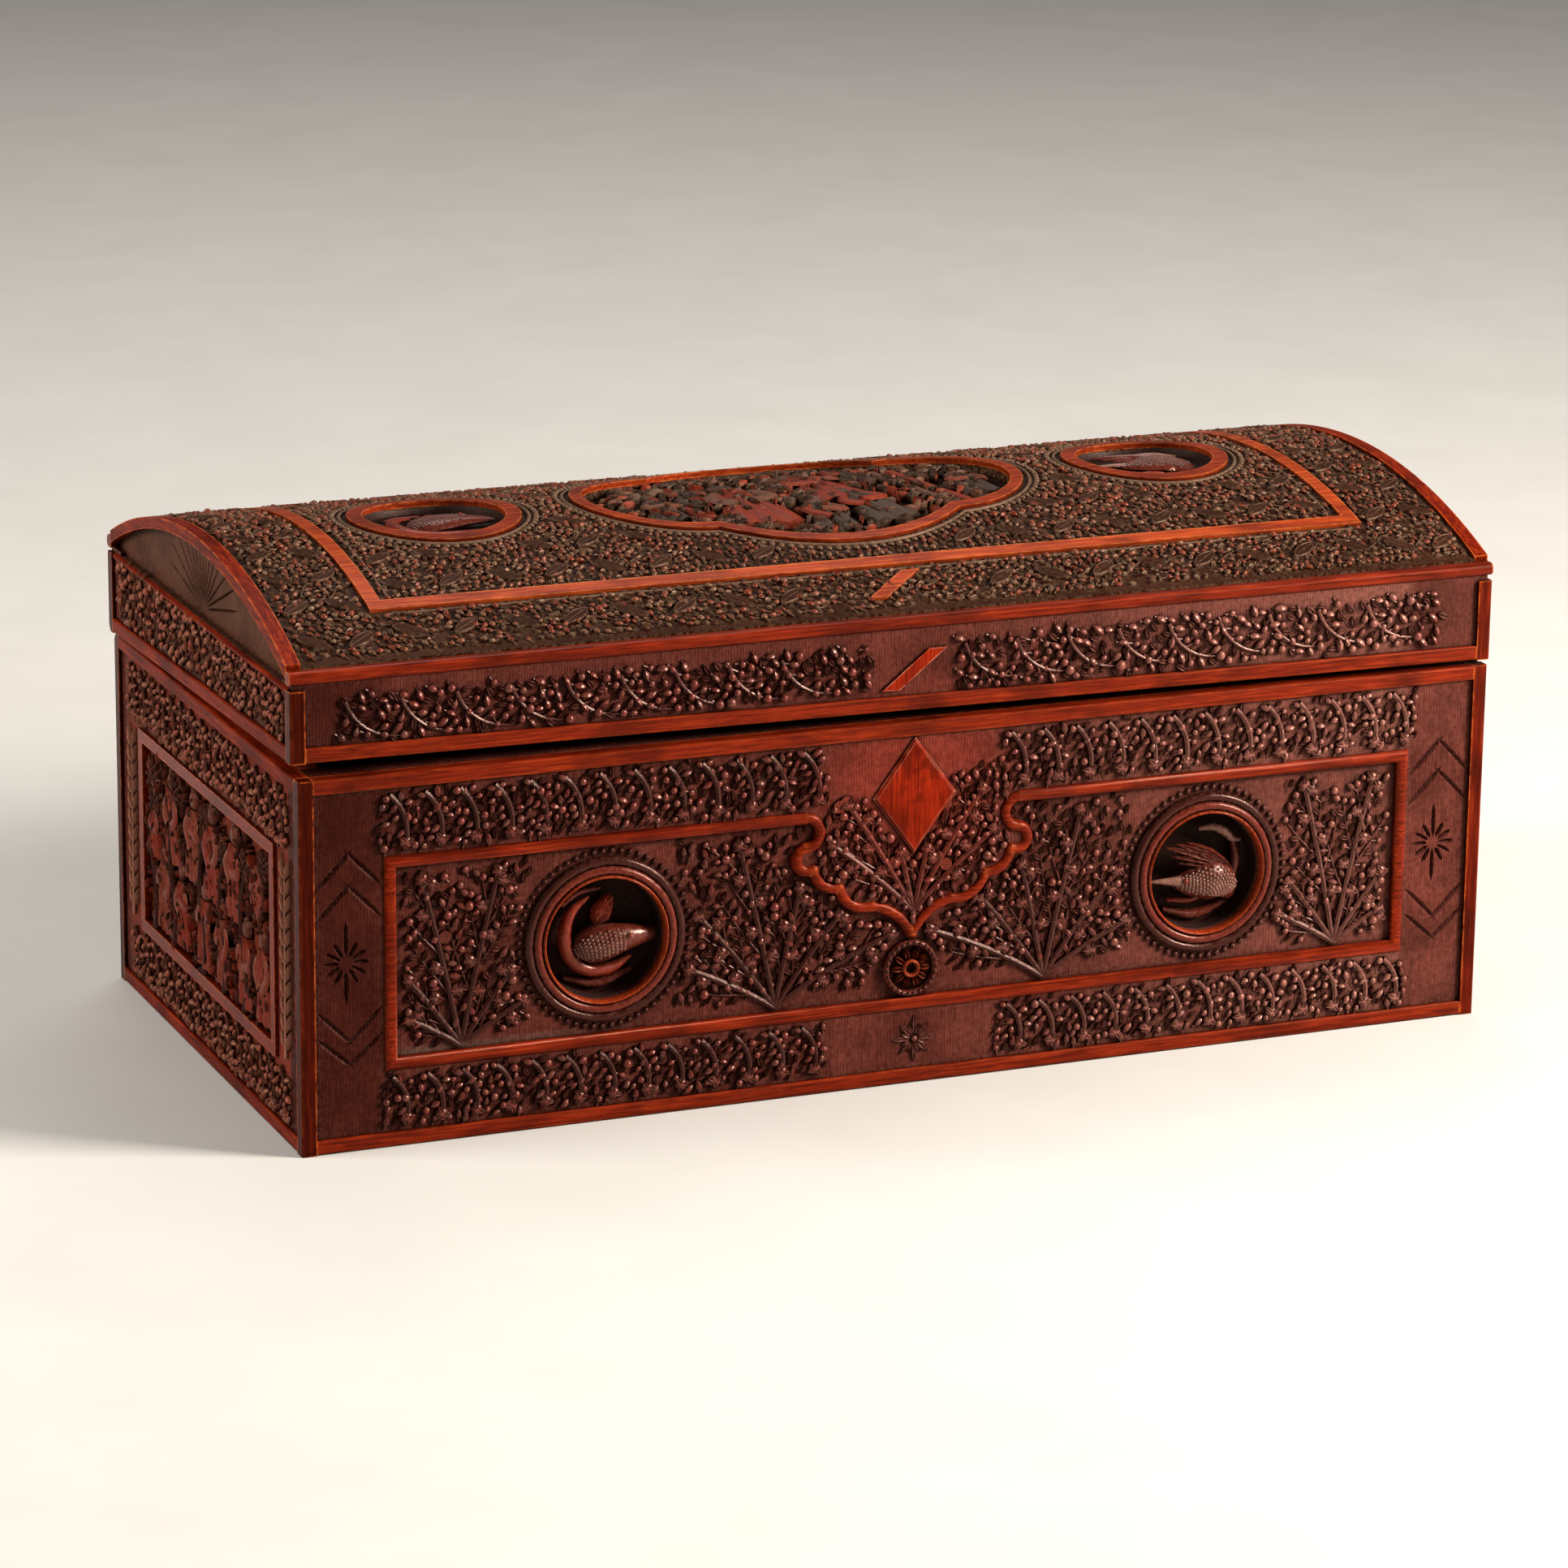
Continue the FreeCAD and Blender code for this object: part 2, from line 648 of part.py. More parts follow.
def from_edges(gap, low, high):
    # Place between two edges, by its gap from the low edge or, where negative, from the high edge
    return low + gap if gap > 0 else high + gap


def end_place(side_gap, edge_gap):
    # Place on the sunk field of an end panel
    field_half = end_half - moulding_width
    return (from_edges(side_gap, -field_half, field_half),
            from_edges(edge_gap, panel_bottom + moulding_width, panel_top - moulding_width))


def end_scene(sign):
    # Figures and clumps of leaves that stand on the sunk field of an end panel, up to the board's face
    depth = panel_sink + foliage_seat
    x_low = min(sign * face_x, sign * (face_x - depth))
    shapes = []
    rounds = [(*end_place(side_gap, edge_gap), radius) for side_gap, edge_gap, radius in end_clumps]
    for side_gap, edge_gap, height, lean in end_figures:
        foot = end_place(side_gap, edge_gap)
        robe = [(sign * across, up) for across, up in robe_outline(foot, height, lean)]
        shapes.append(prism_yz(robe, x_low, x_low + depth))
        rounds.append((*leaned(foot, lean, 0.0, head_rise * height), head_share * height))
    for u, z, radius in rounds:
        shapes.append(Part.makeCylinder(radius, depth, vec(x_low, sign * u, z), vec(1, 0, 0)))
    return shapes


# End panels: a plain moulding round a sunk field with a carved scene
end_half = half_depth - end_panel_margin
for side, sign in sides:
    x_proud = sign * (face_x + moulding_proud)
    x_field = sign * (face_x - panel_sink)
    x_low = min(x_proud, x_field)
    x_high = max(x_proud, x_field)
    outer = box(x_low, x_high, -end_half, end_half, panel_bottom, panel_top)
    inner = box(x_low, x_high, -end_half + moulding_width, end_half - moulding_width,
                panel_bottom + moulding_width, panel_top - moulding_width)
    base_ends[side] = base_ends[side].cut(outer).fuse(end_scene(sign)).removeSplitter()
    parts["%s_panel_moulding" % side] = outer.cut(inner)

# Lid planes
lid_half = half_length + lid_overhang
lid_front = -half_depth + lid_setback
lid_back = half_depth
lid_mid = (lid_front + lid_back) / 2
lid_half_depth = (lid_back - lid_front) / 2
spring_z = base_height + lid_rim_height
seat_z = spring_z - bead_height
apex_z = spring_z + dome_rise
over_dome = apex_z + dome_rise
lid_face_x = lid_half - strip_proud
lid_inner_x = lid_face_x - lid_board_thickness
lid_face_front = lid_front + strip_proud
lid_face_back = lid_back - strip_proud
lid_inner_front = lid_face_front + lid_board_thickness
lid_inner_back = lid_face_back - lid_board_thickness
lid_inset_x = lid_half - strip_size
lid_inset_front = lid_front + strip_size
lid_inset_back = lid_back - strip_size

# The seam under the lid opens towards the front left corner
front_seam = ((-lid_half, base_height + seam_front_left), (lid_half, base_height + seam_front_right))
back_seam = ((-lid_half, base_height + seam_back), (lid_half, base_height + seam_back))
side_seams = {
    "left": ((lid_front, base_height + seam_front_left), (lid_back, base_height + seam_back)),
    "right": ((lid_front, base_height + seam_front_right), (lid_back, base_height + seam_back)),
}


def over_seam(seam, low, high, top):
    # Outline above a sloping seam up to a level top
    return [(low, along(*seam, low)), (high, along(*seam, high)), (high, top), (low, top)]


def along_seam(seam, low, high, width):
    # Outline of a strip of even width that follows a seam
    z_low = along(*seam, low)
    z_high = along(*seam, high)
    return [(low, z_low), (high, z_high), (high, z_high + width), (low, z_low + width)]


front_outline = over_seam(front_seam, -lid_face_x, lid_face_x, seat_z)
back_outline = over_seam(back_seam, -lid_face_x, lid_face_x, seat_z)
lid_front_board = prism_xz(front_outline, lid_face_front, lid_inner_front)
lid_back_board = prism_xz(back_outline, lid_inner_back, lid_face_back)

# Edging strips of the lid rim
lid_strips = {}
lid_rows = (("front", lid_front, lid_inset_front, front_seam), ("back", lid_back, lid_inset_back, back_seam))
for end, y_outer, y_inset, seam in lid_rows:
    y_low = min(y_outer, y_inset)
    for side, x_sign in sides:
        x_outer = x_sign * lid_half
        x_low = min(x_outer, x_sign * lid_inset_x)
        foot = min(along(*seam, x_sign * lid_inset_x), along(*side_seams[side], y_inset))
        corner = box(x_low, x_low + strip_size, y_low, y_low + strip_size, foot, seat_z - corner_strip_drop)
        corner = round_corner_edge(corner, x_outer, y_outer, strip_rounding)
        lid_strips["lid_%s_%s_corner_strip" % (end, side)] = corner
    rail = prism_xz(along_seam(seam, -lid_inset_x, lid_inset_x, strip_size), y_low, y_low + strip_size)
    lid_strips["lid_%s_rail" % end] = round_outer_edges(rail, 1, y_outer, strip_rounding)
for side, x_sign in sides:
    x_outer = x_sign * lid_half
    x_low = min(x_outer, x_sign * lid_inset_x)
    outline = along_seam(side_seams[side], lid_inset_front, lid_inset_back, strip_size)
    rail = prism_yz(outline, x_low, x_low + strip_size)
    lid_strips["lid_%s_rail" % side] = round_outer_edges(rail, 0, x_outer, strip_rounding)
lid_strip_blocks = list(lid_strips.values())
for name in ("lid_back_rail", "lid_back_left_corner_strip", "lid_back_right_corner_strip"):
    lid_strips[name] = lid_strips[name].cut(lid_bevel)

# Dome: an arc through the two edges of the lid and the crown
dome_radius = (lid_half_depth ** 2 + dome_rise ** 2) / (2 * dome_rise)
dome_axis_z = apex_z - dome_radius
ground_radius = dome_radius - dome_sink
vault_radius = ground_radius - dome_thickness


def dome_round(radius):
    # Solid cylinder about the dome's axis
    return Part.makeCylinder(radius, 2 * bevel_reach, vec(-bevel_reach, lid_mid, dome_axis_z), vec(1, 0, 0))


def dome_shell(inner_radius, outer_radius):
    # The part of a shell about the dome's axis that lies over the lid
    shell = dome_round(outer_radius).cut(dome_round(inner_radius))
    return shell.common(box(-lid_half, lid_half, lid_front, lid_back, base_height, over_dome))


bead_inner_front = lid_front + bead_depth
bead_inner_back = lid_back - bead_depth
above_seat = box(-lid_inset_x, lid_inset_x, bead_inner_front, bead_inner_back, seat_z, apex_z)
vault_space = box(-lid_half, lid_half, lid_inner_front, lid_inner_back, base_height, apex_z)
dome_panel = dome_round(ground_radius).common(above_seat)
dome_panel = dome_panel.cut(dome_round(vault_radius).common(vault_space))

# Edge beads of the dome, round on the outside, and the arched strips at its ends
for end, y_outer, y_low in (("front", lid_front, lid_front), ("back", lid_back, lid_back - bead_depth)):
    bead = box(-lid_half, lid_half, y_low, y_low + bead_depth, seat_z, spring_z)
    parts["dome_%s_bead" % end] = round_outer_edges(bead, 1, y_outer, bead_rounding)
arch_shell = dome_shell(dome_radius - arch_strip_thickness, dome_radius)
arch_blocks = []
for side, sign in sides:
    x_low = min(sign * lid_half, sign * lid_inset_x)
    between_beads = box(x_low, x_low + strip_size, bead_inner_front, bead_inner_back, seat_z, apex_z)
    arch = arch_shell.common(between_beads)
    parts["dome_%s_arch_strip" % side] = arch
    arch_blocks.append(arch)

# End boards of the lid: a carved band with an arched gable set back above it
band_top = seat_z - end_band_drop
gable_x = lid_face_x - gable_setback
for side, sign in sides:
    band_low = min(sign * lid_inner_x, sign * lid_face_x)
    outline = over_seam(side_seams[side], lid_inner_front, lid_inner_back, band_top)
    band = prism_yz(outline, band_low, band_low + lid_board_thickness)
    gable_low = min(sign * lid_inner_x, sign * gable_x)
    gable = dome_round(dome_radius - arch_strip_thickness).common(
        box(gable_low, gable_low + lid_board_thickness - gable_setback, bead_inner_front, bead_inner_back,
            band_top, apex_z))
    board = band.fuse(gable).cut([lid_front_board, lid_back_board, dome_panel] + arch_blocks)
    parts["lid_%s_board" % side] = board.cut(lid_strip_blocks).removeSplitter()

# Raised frame on the dome
frame_half_length = lid_half - frame_end_margin
frame_half_depth = lid_half_depth - frame_side_margin
inlay_shell = dome_shell(ground_radius - inlay_depth, ground_radius + frame_proud)


def frame_block(inset):
    # Upright block over the frame's outline, made smaller by an inset
    across = frame_half_length - inset
    deep = frame_half_depth - inset
    return box(-across, across, lid_mid - deep, lid_mid + deep, seat_z, over_dome)


dome_frame = inlay_shell.common(frame_block(0.0).cut(frame_block(frame_strip_width)))
parts["dome_frame"] = dome_frame


def post(x, y, radius):
    # Upright round post through the dome, used to cut round outlines
    return Part.makeCylinder(radius, over_dome - seat_z, vec(x, lid_mid + y, seat_z))


def cartouche_outline(grown):
    # Two side lobes joined by a middle lens
    middle_offset = cartouche_middle_radius - cartouche_half_depth
    near = post(0, middle_offset, cartouche_middle_radius + grown)
    far = post(0, -middle_offset, cartouche_middle_radius + grown)
    lobes = [post(sign * cartouche_side_offset, 0, cartouche_side_radius + grown) for side, sign in sides]
    return near.common(far).fuse(lobes).removeSplitter()


# Lobed cartouche with a deep scene of roof beams, figures and leaves
rim_shell = dome_shell(ground_radius - inlay_depth, ground_radius + rim_proud)
pocket_shell = dome_shell(ground_radius - dome_pocket_depth, ground_radius + rim_proud)
cartouche_hole = cartouche_outline(0.0)
cartouche_rim = rim_shell.common(cartouche_outline(cartouche_rim_width).cut(cartouche_hole))
parts["cartouche_rim"] = cartouche_rim
cartouche_pocket = pocket_shell.common(cartouche_hole)
floor_radius = ground_radius - dome_pocket_depth
floor_shell = dome_shell(floor_radius, floor_radius + scene_floor_thickness)
relief_shell = dome_shell(floor_radius, floor_radius + scene_floor_thickness + scene_relief)


def upright(points):
    # Upright block over an outline given in x and y from the middle of the dome
    return prism_xy([(x, lid_mid + y) for x, y in points], seat_z, over_dome)


def beam(x0, y0, x1, y1):
    # Straight beam between two points
    length = math.hypot(x1 - x0, y1 - y0)
    across = beam_width / 2 * (y0 - y1) / length
    up = beam_width / 2 * (x1 - x0) / length
    near = [(x0 - across, y0 - up), (x1 - across, y1 - up)]
    far = [(x1 + across, y1 + up), (x0 + across, y0 + up)]
    return upright(near + far)


def figure(x, y, height, lean):
    # Robed figure with a round head
    head = leaned((x, y), lean, 0.0, head_rise * height)
    return [upright(robe_outline((x, y), height, lean)), post(*head, head_share * height)]


scene_blocks = [beam(*ends_of_beam) for ends_of_beam in scene_beams]
scene_blocks += [post(*clump) for clump in scene_clumps]
for place in scene_figures:
    scene_blocks += figure(*place)
scene_relief_solid = relief_shell.common(fused(scene_blocks))
cartouche_floor = floor_shell.common(cartouche_hole)
parts["cartouche_scene"] = cartouche_floor.fuse(scene_relief_solid.common(cartouche_pocket)).removeSplitter()

# Roundels on the dome, each with a bird, between the cartouche and the frame
cartouche_end = cartouche_side_offset + cartouche_side_radius + cartouche_rim_width
space_beside = frame_half_length - frame_strip_width - cartouche_end
dome_roundel_offset = cartouche_end + dome_roundel_share * space_beside
dome_cuts = [dome_frame, cartouche_rim, cartouche_pocket]
for side, sign in sides:
    x = sign * dome_roundel_offset
    hole = post(x, 0, dome_roundel_hole_radius)
    ring = rim_shell.common(post(x, 0, dome_roundel_hole_radius + dome_roundel_rim_width).cut(hole))
    pocket = pocket_shell.common(hole)
    parts["dome_%s_roundel_ring" % side] = ring
    dome_cuts += [ring, pocket]
    seat = FreeCAD.Placement(vec(x, lid_mid, dome_axis_z + floor_radius), FreeCAD.Rotation())
    bird_room = pocket_shell.common(post(x, 0, dome_roundel_hole_radius - bird_clearance))
    parts["dome_%s_bird" % side] = carved_bird(dome_bird_length, dome_bird_lift, -sign, seat, bird_room)
dome_panel = dome_panel.cut(dome_cuts)


def clear_of_ornament(x, y):
    # Whether a leaf on the dome is clear of the cartouche, the roundels and the lozenge
    across = abs(x)
    middle_offset = cartouche_middle_radius - cartouche_half_depth
    roundel_room = dome_roundel_hole_radius + dome_roundel_rim_width + leaf_gap
    cartouche_room = cartouche_rim_width + leaf_gap
    if math.hypot(across - dome_roundel_offset, y) < roundel_room:
        return False
    if math.hypot(across - cartouche_side_offset, y) < cartouche_side_radius + cartouche_room:
        return False
    if math.hypot(x, abs(y) + middle_offset) < cartouche_middle_radius + cartouche_room:
        return False
    return y > -frame_half_depth or across > (lozenge_slant + lozenge_width) / 2 + leaf_gap


def leaf_block(x, y, heading):
    # Upright block over a pointed leaf, whose outline is two arcs from tip to tip
    middle = vec(x, lid_mid + y, seat_z)
    turn = FreeCAD.Rotation(vec(0, 0, 1), heading)
    ahead = turn.multVec(vec(leaf_length / 2, 0, 0))
    aside = turn.multVec(vec(0, leaf_width / 2, 0))
    edges = [Part.Arc(middle - ahead, middle + aside, middle + ahead).toShape(),
             Part.Arc(middle + ahead, middle - aside, middle - ahead).toShape()]
    return Part.Face(Part.Wire(edges)).extrude(vec(0, 0, over_dome - seat_z))


def leaf_rows(x_low, x_high, y_low, y_high):
    # Leaves spread evenly over a part of the dome, turned left and right by turns
    columns = max(1, round((x_high - x_low) / leaf_pitch))
    rows = max(1, round((y_high - y_low) / leaf_pitch))
    blocks = []
    for column in range(columns):
        x = x_low + (column + 0.5) * (x_high - x_low) / columns
        for row in range(rows):
            y = y_low + (row + 0.5) * (y_high - y_low) / rows
            heading = leaf_heading if (column + row) % 2 else 180.0 - leaf_heading
            if clear_of_ornament(x, y):
                blocks.append(leaf_block(x, y, heading))
    return blocks


# Leaves on the dome: in the field inside the frame and in the borders round it
field_x = frame_half_length - frame_strip_width
field_depth = frame_half_depth - frame_strip_width
border_depth = lid_half_depth - bead_depth
leaf_blocks = leaf_rows(-field_x, field_x, -field_depth, field_depth)
for side, sign in sides:
    end_low = min(sign * frame_half_length, sign * lid_inset_x)
    end_high = max(sign * frame_half_length, sign * lid_inset_x)
    leaf_blocks += leaf_rows(end_low, end_high, -border_depth, border_depth)
    row_low = min(sign * frame_half_depth, sign * border_depth)
    row_high = max(sign * frame_half_depth, sign * border_depth)
    leaf_blocks += leaf_rows(-frame_half_length, frame_half_length, row_low, row_high)
leaf_shell = dome_shell(ground_radius - foliage_seat, ground_radius + foliage_height)
parts["dome_panel"] = dome_panel.fuse([leaf_shell.common(block) for block in leaf_blocks])


def slanted(middle_x, low, height):
    # Corners of a slanted lozenge over a low line
    left = middle_x - (lozenge_slant + lozenge_width) / 2
    return [(left, low), (left + lozenge_width, low), (left + lozenge_width + lozenge_slant, low + height),
            (left + lozenge_slant, low + height)]


# Slanted lozenges on the lid's front rim and on the dome's front border
lid_lozenge_low = along(*front_seam, 0.0) + strip_size + lid_lozenge_rise
parts["lid_front_lozenge"] = prism_xz(slanted(0.0, lid_lozenge_low, lozenge_height),
                                      lid_face_front - lozenge_proud, lid_face_front)
lozenge_shell = dome_shell(ground_radius, ground_radius + lozenge_proud)
dome_lozenge_low = lid_front + dome_lozenge_inset
parts["dome_lozenge"] = lozenge_shell.common(
    prism_xy(slanted(0.0, dome_lozenge_low, lozenge_height), seat_z, over_dome))

# Butt hinges in the back seam: leaves let into the boards, knuckles on a pin
third = hinge_length / 3
hinge_offset = half_length - hinge_end_margin - hinge_length / 2


def knuckle(x_low, x_high, radius):
    return Part.makeCylinder(radius, x_high - x_low, vec(x_low, axis_y, axis_z), vec(1, 0, 0))


def screw(x, y, z, down):
    # Countersunk screw with its head flush at z
    top = vec(x, y, z)
    way = vec(0, 0, down)
    cone = Part.makeCone(screw_head_radius, screw_shank_radius, screw_head_height, top, way)
    shank = Part.makeCylinder(screw_shank_radius, screw_length, top, way)
    return cone.fuse(shank).removeSplitter()


leaf_y_low = axis_y - hinge_leaf_width
screw_y = (inner_back + axis_y - knuckle_radius) / 2
lower_z = base_height
upper_z = base_height + seam_back
pins = []
lower_screws = []
upper_screws = []
base_back_cuts = []
lid_back_cuts = []
for side, sign in sides:
    x0 = sign * hinge_offset - hinge_length / 2
    x1 = x0 + hinge_length
    bore = knuckle(x0 - 1.0, x1 + 1.0, pin_radius + pin_clearance)
    middle = (x0 + third + knuckle_end_clearance, x1 - third - knuckle_end_clearance)
    outers = ((x0, x0 + third), (x1 - third, x1))
    lower_plate = box(x0, x1, leaf_y_low, axis_y, lower_z - hinge_leaf_thickness, lower_z)
    upper_plate = box(x0, x1, leaf_y_low, axis_y, upper_z, upper_z + hinge_leaf_thickness)
    room = knuckle_radius + knuckle_clearance
    middle_room = knuckle(x0 + third, x1 - third, room)
    end_gap = knuckle_end_clearance
    outer_rooms = [knuckle(low - end_gap, high + end_gap, room) for low, high in outers]
    outer_knuckles = [knuckle(low, high, knuckle_radius) for low, high in outers]
    screw_places = [sign * hinge_offset + step * screw_pitch for step in (-1, 0, 1)]
    side_lower = [screw(x, screw_y, lower_z, -1) for x in screw_places]
    side_upper = [screw(x, screw_y, upper_z, 1) for x in screw_places]
    lower_leaf = lower_plate.cut(middle_room).fuse(outer_knuckles)
    upper_leaf = upper_plate.cut(outer_rooms).fuse(knuckle(middle[0], middle[1], knuckle_radius))
    parts["hinge_%s_lower_leaf" % side] = lower_leaf.cut([bore] + side_lower).removeSplitter()
    parts["hinge_%s_upper_leaf" % side] = upper_leaf.cut([bore] + side_upper).removeSplitter()
    pins.append(knuckle(x0, x1, pin_radius))
    barrel_room = knuckle(x0 - knuckle_clearance, x1 + knuckle_clearance, room)
    base_back_cuts += [lower_plate, barrel_room] + side_lower
    lid_back_cuts += [upper_plate, barrel_room] + side_upper
    lower_screws += side_lower
    upper_screws += side_upper
parts["hinge_pins"] = Part.makeCompound(pins)
parts["hinge_lower_screws"] = Part.makeCompound(lower_screws)
parts["hinge_upper_screws"] = Part.makeCompound(upper_screws)

# Boards are rebated for the strips, and the back edges for the hinges
parts["base_front_board"] = base_front.cut(strip_blocks)
parts["base_back_board"] = base_back.cut(strip_blocks + base_back_cuts)
for side, sign in sides:
    parts["base_%s_board" % side] = base_ends[side].cut(strip_blocks)
parts["lid_front_board"] = lid_front_board.cut(lid_strip_blocks)
parts["lid_back_board"] = lid_back_board.cut(lid_strip_blocks + lid_back_cuts)
base_strips["base_back_top_rail"] = base_strips["base_back_top_rail"].cut(base_back_cuts)
lid_strips["lid_back_rail"] = lid_strips["lid_back_rail"].cut(lid_back_cuts)
parts.update(base_strips)
parts.update(lid_strips)

os.makedirs("parts", exist_ok=True)
for name, shape in parts.items():
    shape.exportStep("parts/%s.step" % name)
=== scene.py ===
import math

import bmesh
import bpy
import numpy as np
from mathutils import Matrix, Vector


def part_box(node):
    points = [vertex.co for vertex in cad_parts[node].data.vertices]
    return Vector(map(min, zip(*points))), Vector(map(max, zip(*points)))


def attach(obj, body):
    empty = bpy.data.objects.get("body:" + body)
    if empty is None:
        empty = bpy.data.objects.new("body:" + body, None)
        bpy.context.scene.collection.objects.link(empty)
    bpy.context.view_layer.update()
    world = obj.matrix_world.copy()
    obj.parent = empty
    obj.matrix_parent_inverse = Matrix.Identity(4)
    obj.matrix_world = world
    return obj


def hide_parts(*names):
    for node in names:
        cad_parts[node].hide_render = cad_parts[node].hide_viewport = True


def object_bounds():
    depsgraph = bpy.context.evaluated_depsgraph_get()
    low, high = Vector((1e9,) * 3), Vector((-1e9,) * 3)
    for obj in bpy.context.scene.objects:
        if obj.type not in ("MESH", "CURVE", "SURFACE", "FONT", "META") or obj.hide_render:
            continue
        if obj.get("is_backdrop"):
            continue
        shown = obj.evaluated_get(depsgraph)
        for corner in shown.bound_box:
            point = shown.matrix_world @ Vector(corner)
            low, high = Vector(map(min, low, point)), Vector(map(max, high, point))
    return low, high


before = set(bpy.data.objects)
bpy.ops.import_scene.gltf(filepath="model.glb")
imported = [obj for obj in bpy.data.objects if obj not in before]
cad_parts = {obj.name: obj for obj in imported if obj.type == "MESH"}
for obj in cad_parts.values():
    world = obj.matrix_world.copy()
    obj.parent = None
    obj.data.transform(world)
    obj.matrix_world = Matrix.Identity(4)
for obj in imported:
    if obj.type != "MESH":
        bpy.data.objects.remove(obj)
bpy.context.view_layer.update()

# Looks of a carved sandalwood box.  Shapes are worked out in millimetres and placed in metres.
# A carved face has its own coordinates: u along it, v up it and h out of the wood.
MM = 0.001


def limits(node):
    low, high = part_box(node)
    return np.array(low) / MM, np.array(high) / MM


# Planes of the box, from the frame
_, base_high = limits("base_front_board")
left_low, _ = limits("base_left_board")
_, back_high = limits("base_back_board")
moulding_low, moulding_high = limits("front_panel_moulding")
_, end_moulding_high = limits("left_panel_moulding")
lid_board_low, _ = limits("lid_front_board")
lid_left_low, _ = limits("lid_left_board")
bead_low, bead_high = limits("dome_front_bead")
back_bead_low, back_bead_high = limits("dome_back_bead")
strip_low, strip_high = limits("base_front_top_rail")
diamond_low, diamond_high = limits("diamond_plaque")
boss_low, boss_high = limits("rosette_boss")
ring_low, ring_high = limits("front_right_roundel_ring")
dome_ring_low, dome_ring_high = limits("dome_right_roundel_ring")
_, dome_frame_high = limits("dome_frame")
_, dome_lozenge_high = limits("dome_lozenge")
_, arch_high = limits("dome_left_arch_strip")

strip_proud = 1.0
front_y = strip_low[1] + strip_proud
field_y = moulding_high[1]
back_y = back_high[1]
lid_front_y = lid_board_low[1]
strip_size = strip_high[2] - strip_low[2]
lid_mid = (bead_low[1] + back_bead_high[1]) / 2

# Sunk panel of the front, its moulding and the diamond over it
panel_half = moulding_high[0]
panel_bottom = moulding_low[2]
panel_top = moulding_high[2]
moulding_width = 3.2
moulding_height = field_y - moulding_low[1]
diamond_half_width = diamond_high[0]
diamond_half_height = (diamond_high[2] - diamond_low[2]) / 2
diamond_z = (diamond_low[2] + diamond_high[2]) / 2

# The dome is an arc over the lid, and its carved ground lies a little under the arched strips
dome_sink = 0.8
crown_z = arch_high[2]
spring_z = bead_high[2]
lid_half_depth = back_bead_high[1] - lid_mid
dome_rise = crown_z - spring_z
dome_radius = (lid_half_depth ** 2 + dome_rise ** 2) / (2 * dome_rise)
dome_axis_z = crown_z - dome_radius
ground_radius = dome_radius - dome_sink


def flat_face(origin, along, out):
    # Coordinates on a flat face that looks in the direction out
    origin = np.array(origin, float)
    along = np.array(along, float)
    out = np.array(out, float)
    up = np.cross(out, along)

    def place(points):
        return origin + points[:, 0:1] * along + points[:, 1:2] * up + points[:, 2:3] * out

    return place


def domed_face(radius):
    # Coordinates on the dome: v is the arc from the crown towards the back
    def place(points):
        angle = points[:, 1] / radius
        reach = radius + points[:, 2]
        y = lid_mid + reach * np.sin(angle)
        z = dome_axis_z + reach * np.cos(angle)
        return np.column_stack((points[:, 0], y, z))

    return place


def arc_of(depth):
    # Arc on the dome's ground for a level distance from the crown line
    return ground_radius * math.asin(depth / ground_radius)


front_face = flat_face((0, front_y, 0), (1, 0, 0), (0, -1, 0))
field_face = flat_face((0, field_y, 0), (1, 0, 0), (0, -1, 0))
back_face = flat_face((0, back_y, 0), (-1, 0, 0), (0, 1, 0))
lid_front_face = flat_face((0, lid_front_y, 0), (1, 0, 0), (0, -1, 0))
dome_face = domed_face(ground_radius)


# Faces that meet at a sharper angle than this keep their edge
SMOOTH_ANGLE = 50.0


class Carving:
    """Many small closed shapes on one face, which become one piece."""

    def __init__(self, place):
        self.place = place
        self.points = []
        self.faces = []
        self.tones = []
        self.count = 0

    def add(self, points, faces, tone):
        start = self.count
        self.points.append(points)
        self.tones.append(np.full(len(points), tone))
        self.faces.extend([tuple(start + i for i in face) for face in faces])
        self.count += len(points)

    def add_grid(self, grid, tone, closed=False):
        # Skin over a row of closed rings, with the ends capped unless the row itself closes
        rows, columns = grid.shape[:2]
        faces = []
        for row in range(rows if closed else rows - 1):
            here = row * columns
            there = (row + 1) % rows * columns
            for column in range(columns):
                after = (column + 1) % columns
                faces.append((here + column, here + after, there + after, there + column))
        if not closed:
            faces.append(tuple(range(columns)))
            faces.append(tuple(range((rows - 1) * columns, rows * columns)))
        self.add(grid.reshape(-1, 3), faces, tone)

    def build(self, name, body, material, relief=1.6):
        local = np.vstack(self.points)
        mesh = bpy.data.meshes.new(name)
        mesh.from_pydata((self.place(local) * MM).tolist(), [], self.faces)
        tone = mesh.attributes.new("tone", "FLOAT", "POINT")
        tone.data.foreach_set("value", np.concatenate(self.tones).astype(np.float32))
        height = mesh.attributes.new("relief", "FLOAT", "POINT")
        height.data.foreach_set("value", np.clip(local[:, 2] / relief, 0, 1).astype(np.float32))
        turn_outwards(mesh)
        return finish_piece(name, mesh, body, material, SMOOTH_ANGLE)


def turn_outwards(mesh):
    work = bmesh.new()
    work.from_mesh(mesh)
    bmesh.ops.recalc_face_normals(work, faces=work.faces)
    work.to_mesh(mesh)
    work.free()


def finish_piece(name, mesh, body, material, smooth_angle):
    # An angle of nothing leaves every face flat
    mesh.polygons.foreach_set("use_smooth", [smooth_angle > 0] * len(mesh.polygons))
    mesh.set_sharp_from_angle(angle=math.radians(smooth_angle))
    mesh.materials.clear()
    mesh.materials.append(material)
    piece = bpy.data.objects.new(name, mesh)
    bpy.context.scene.collection.objects.link(piece)
    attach(piece, body)
    return piece


# Outlines and paths


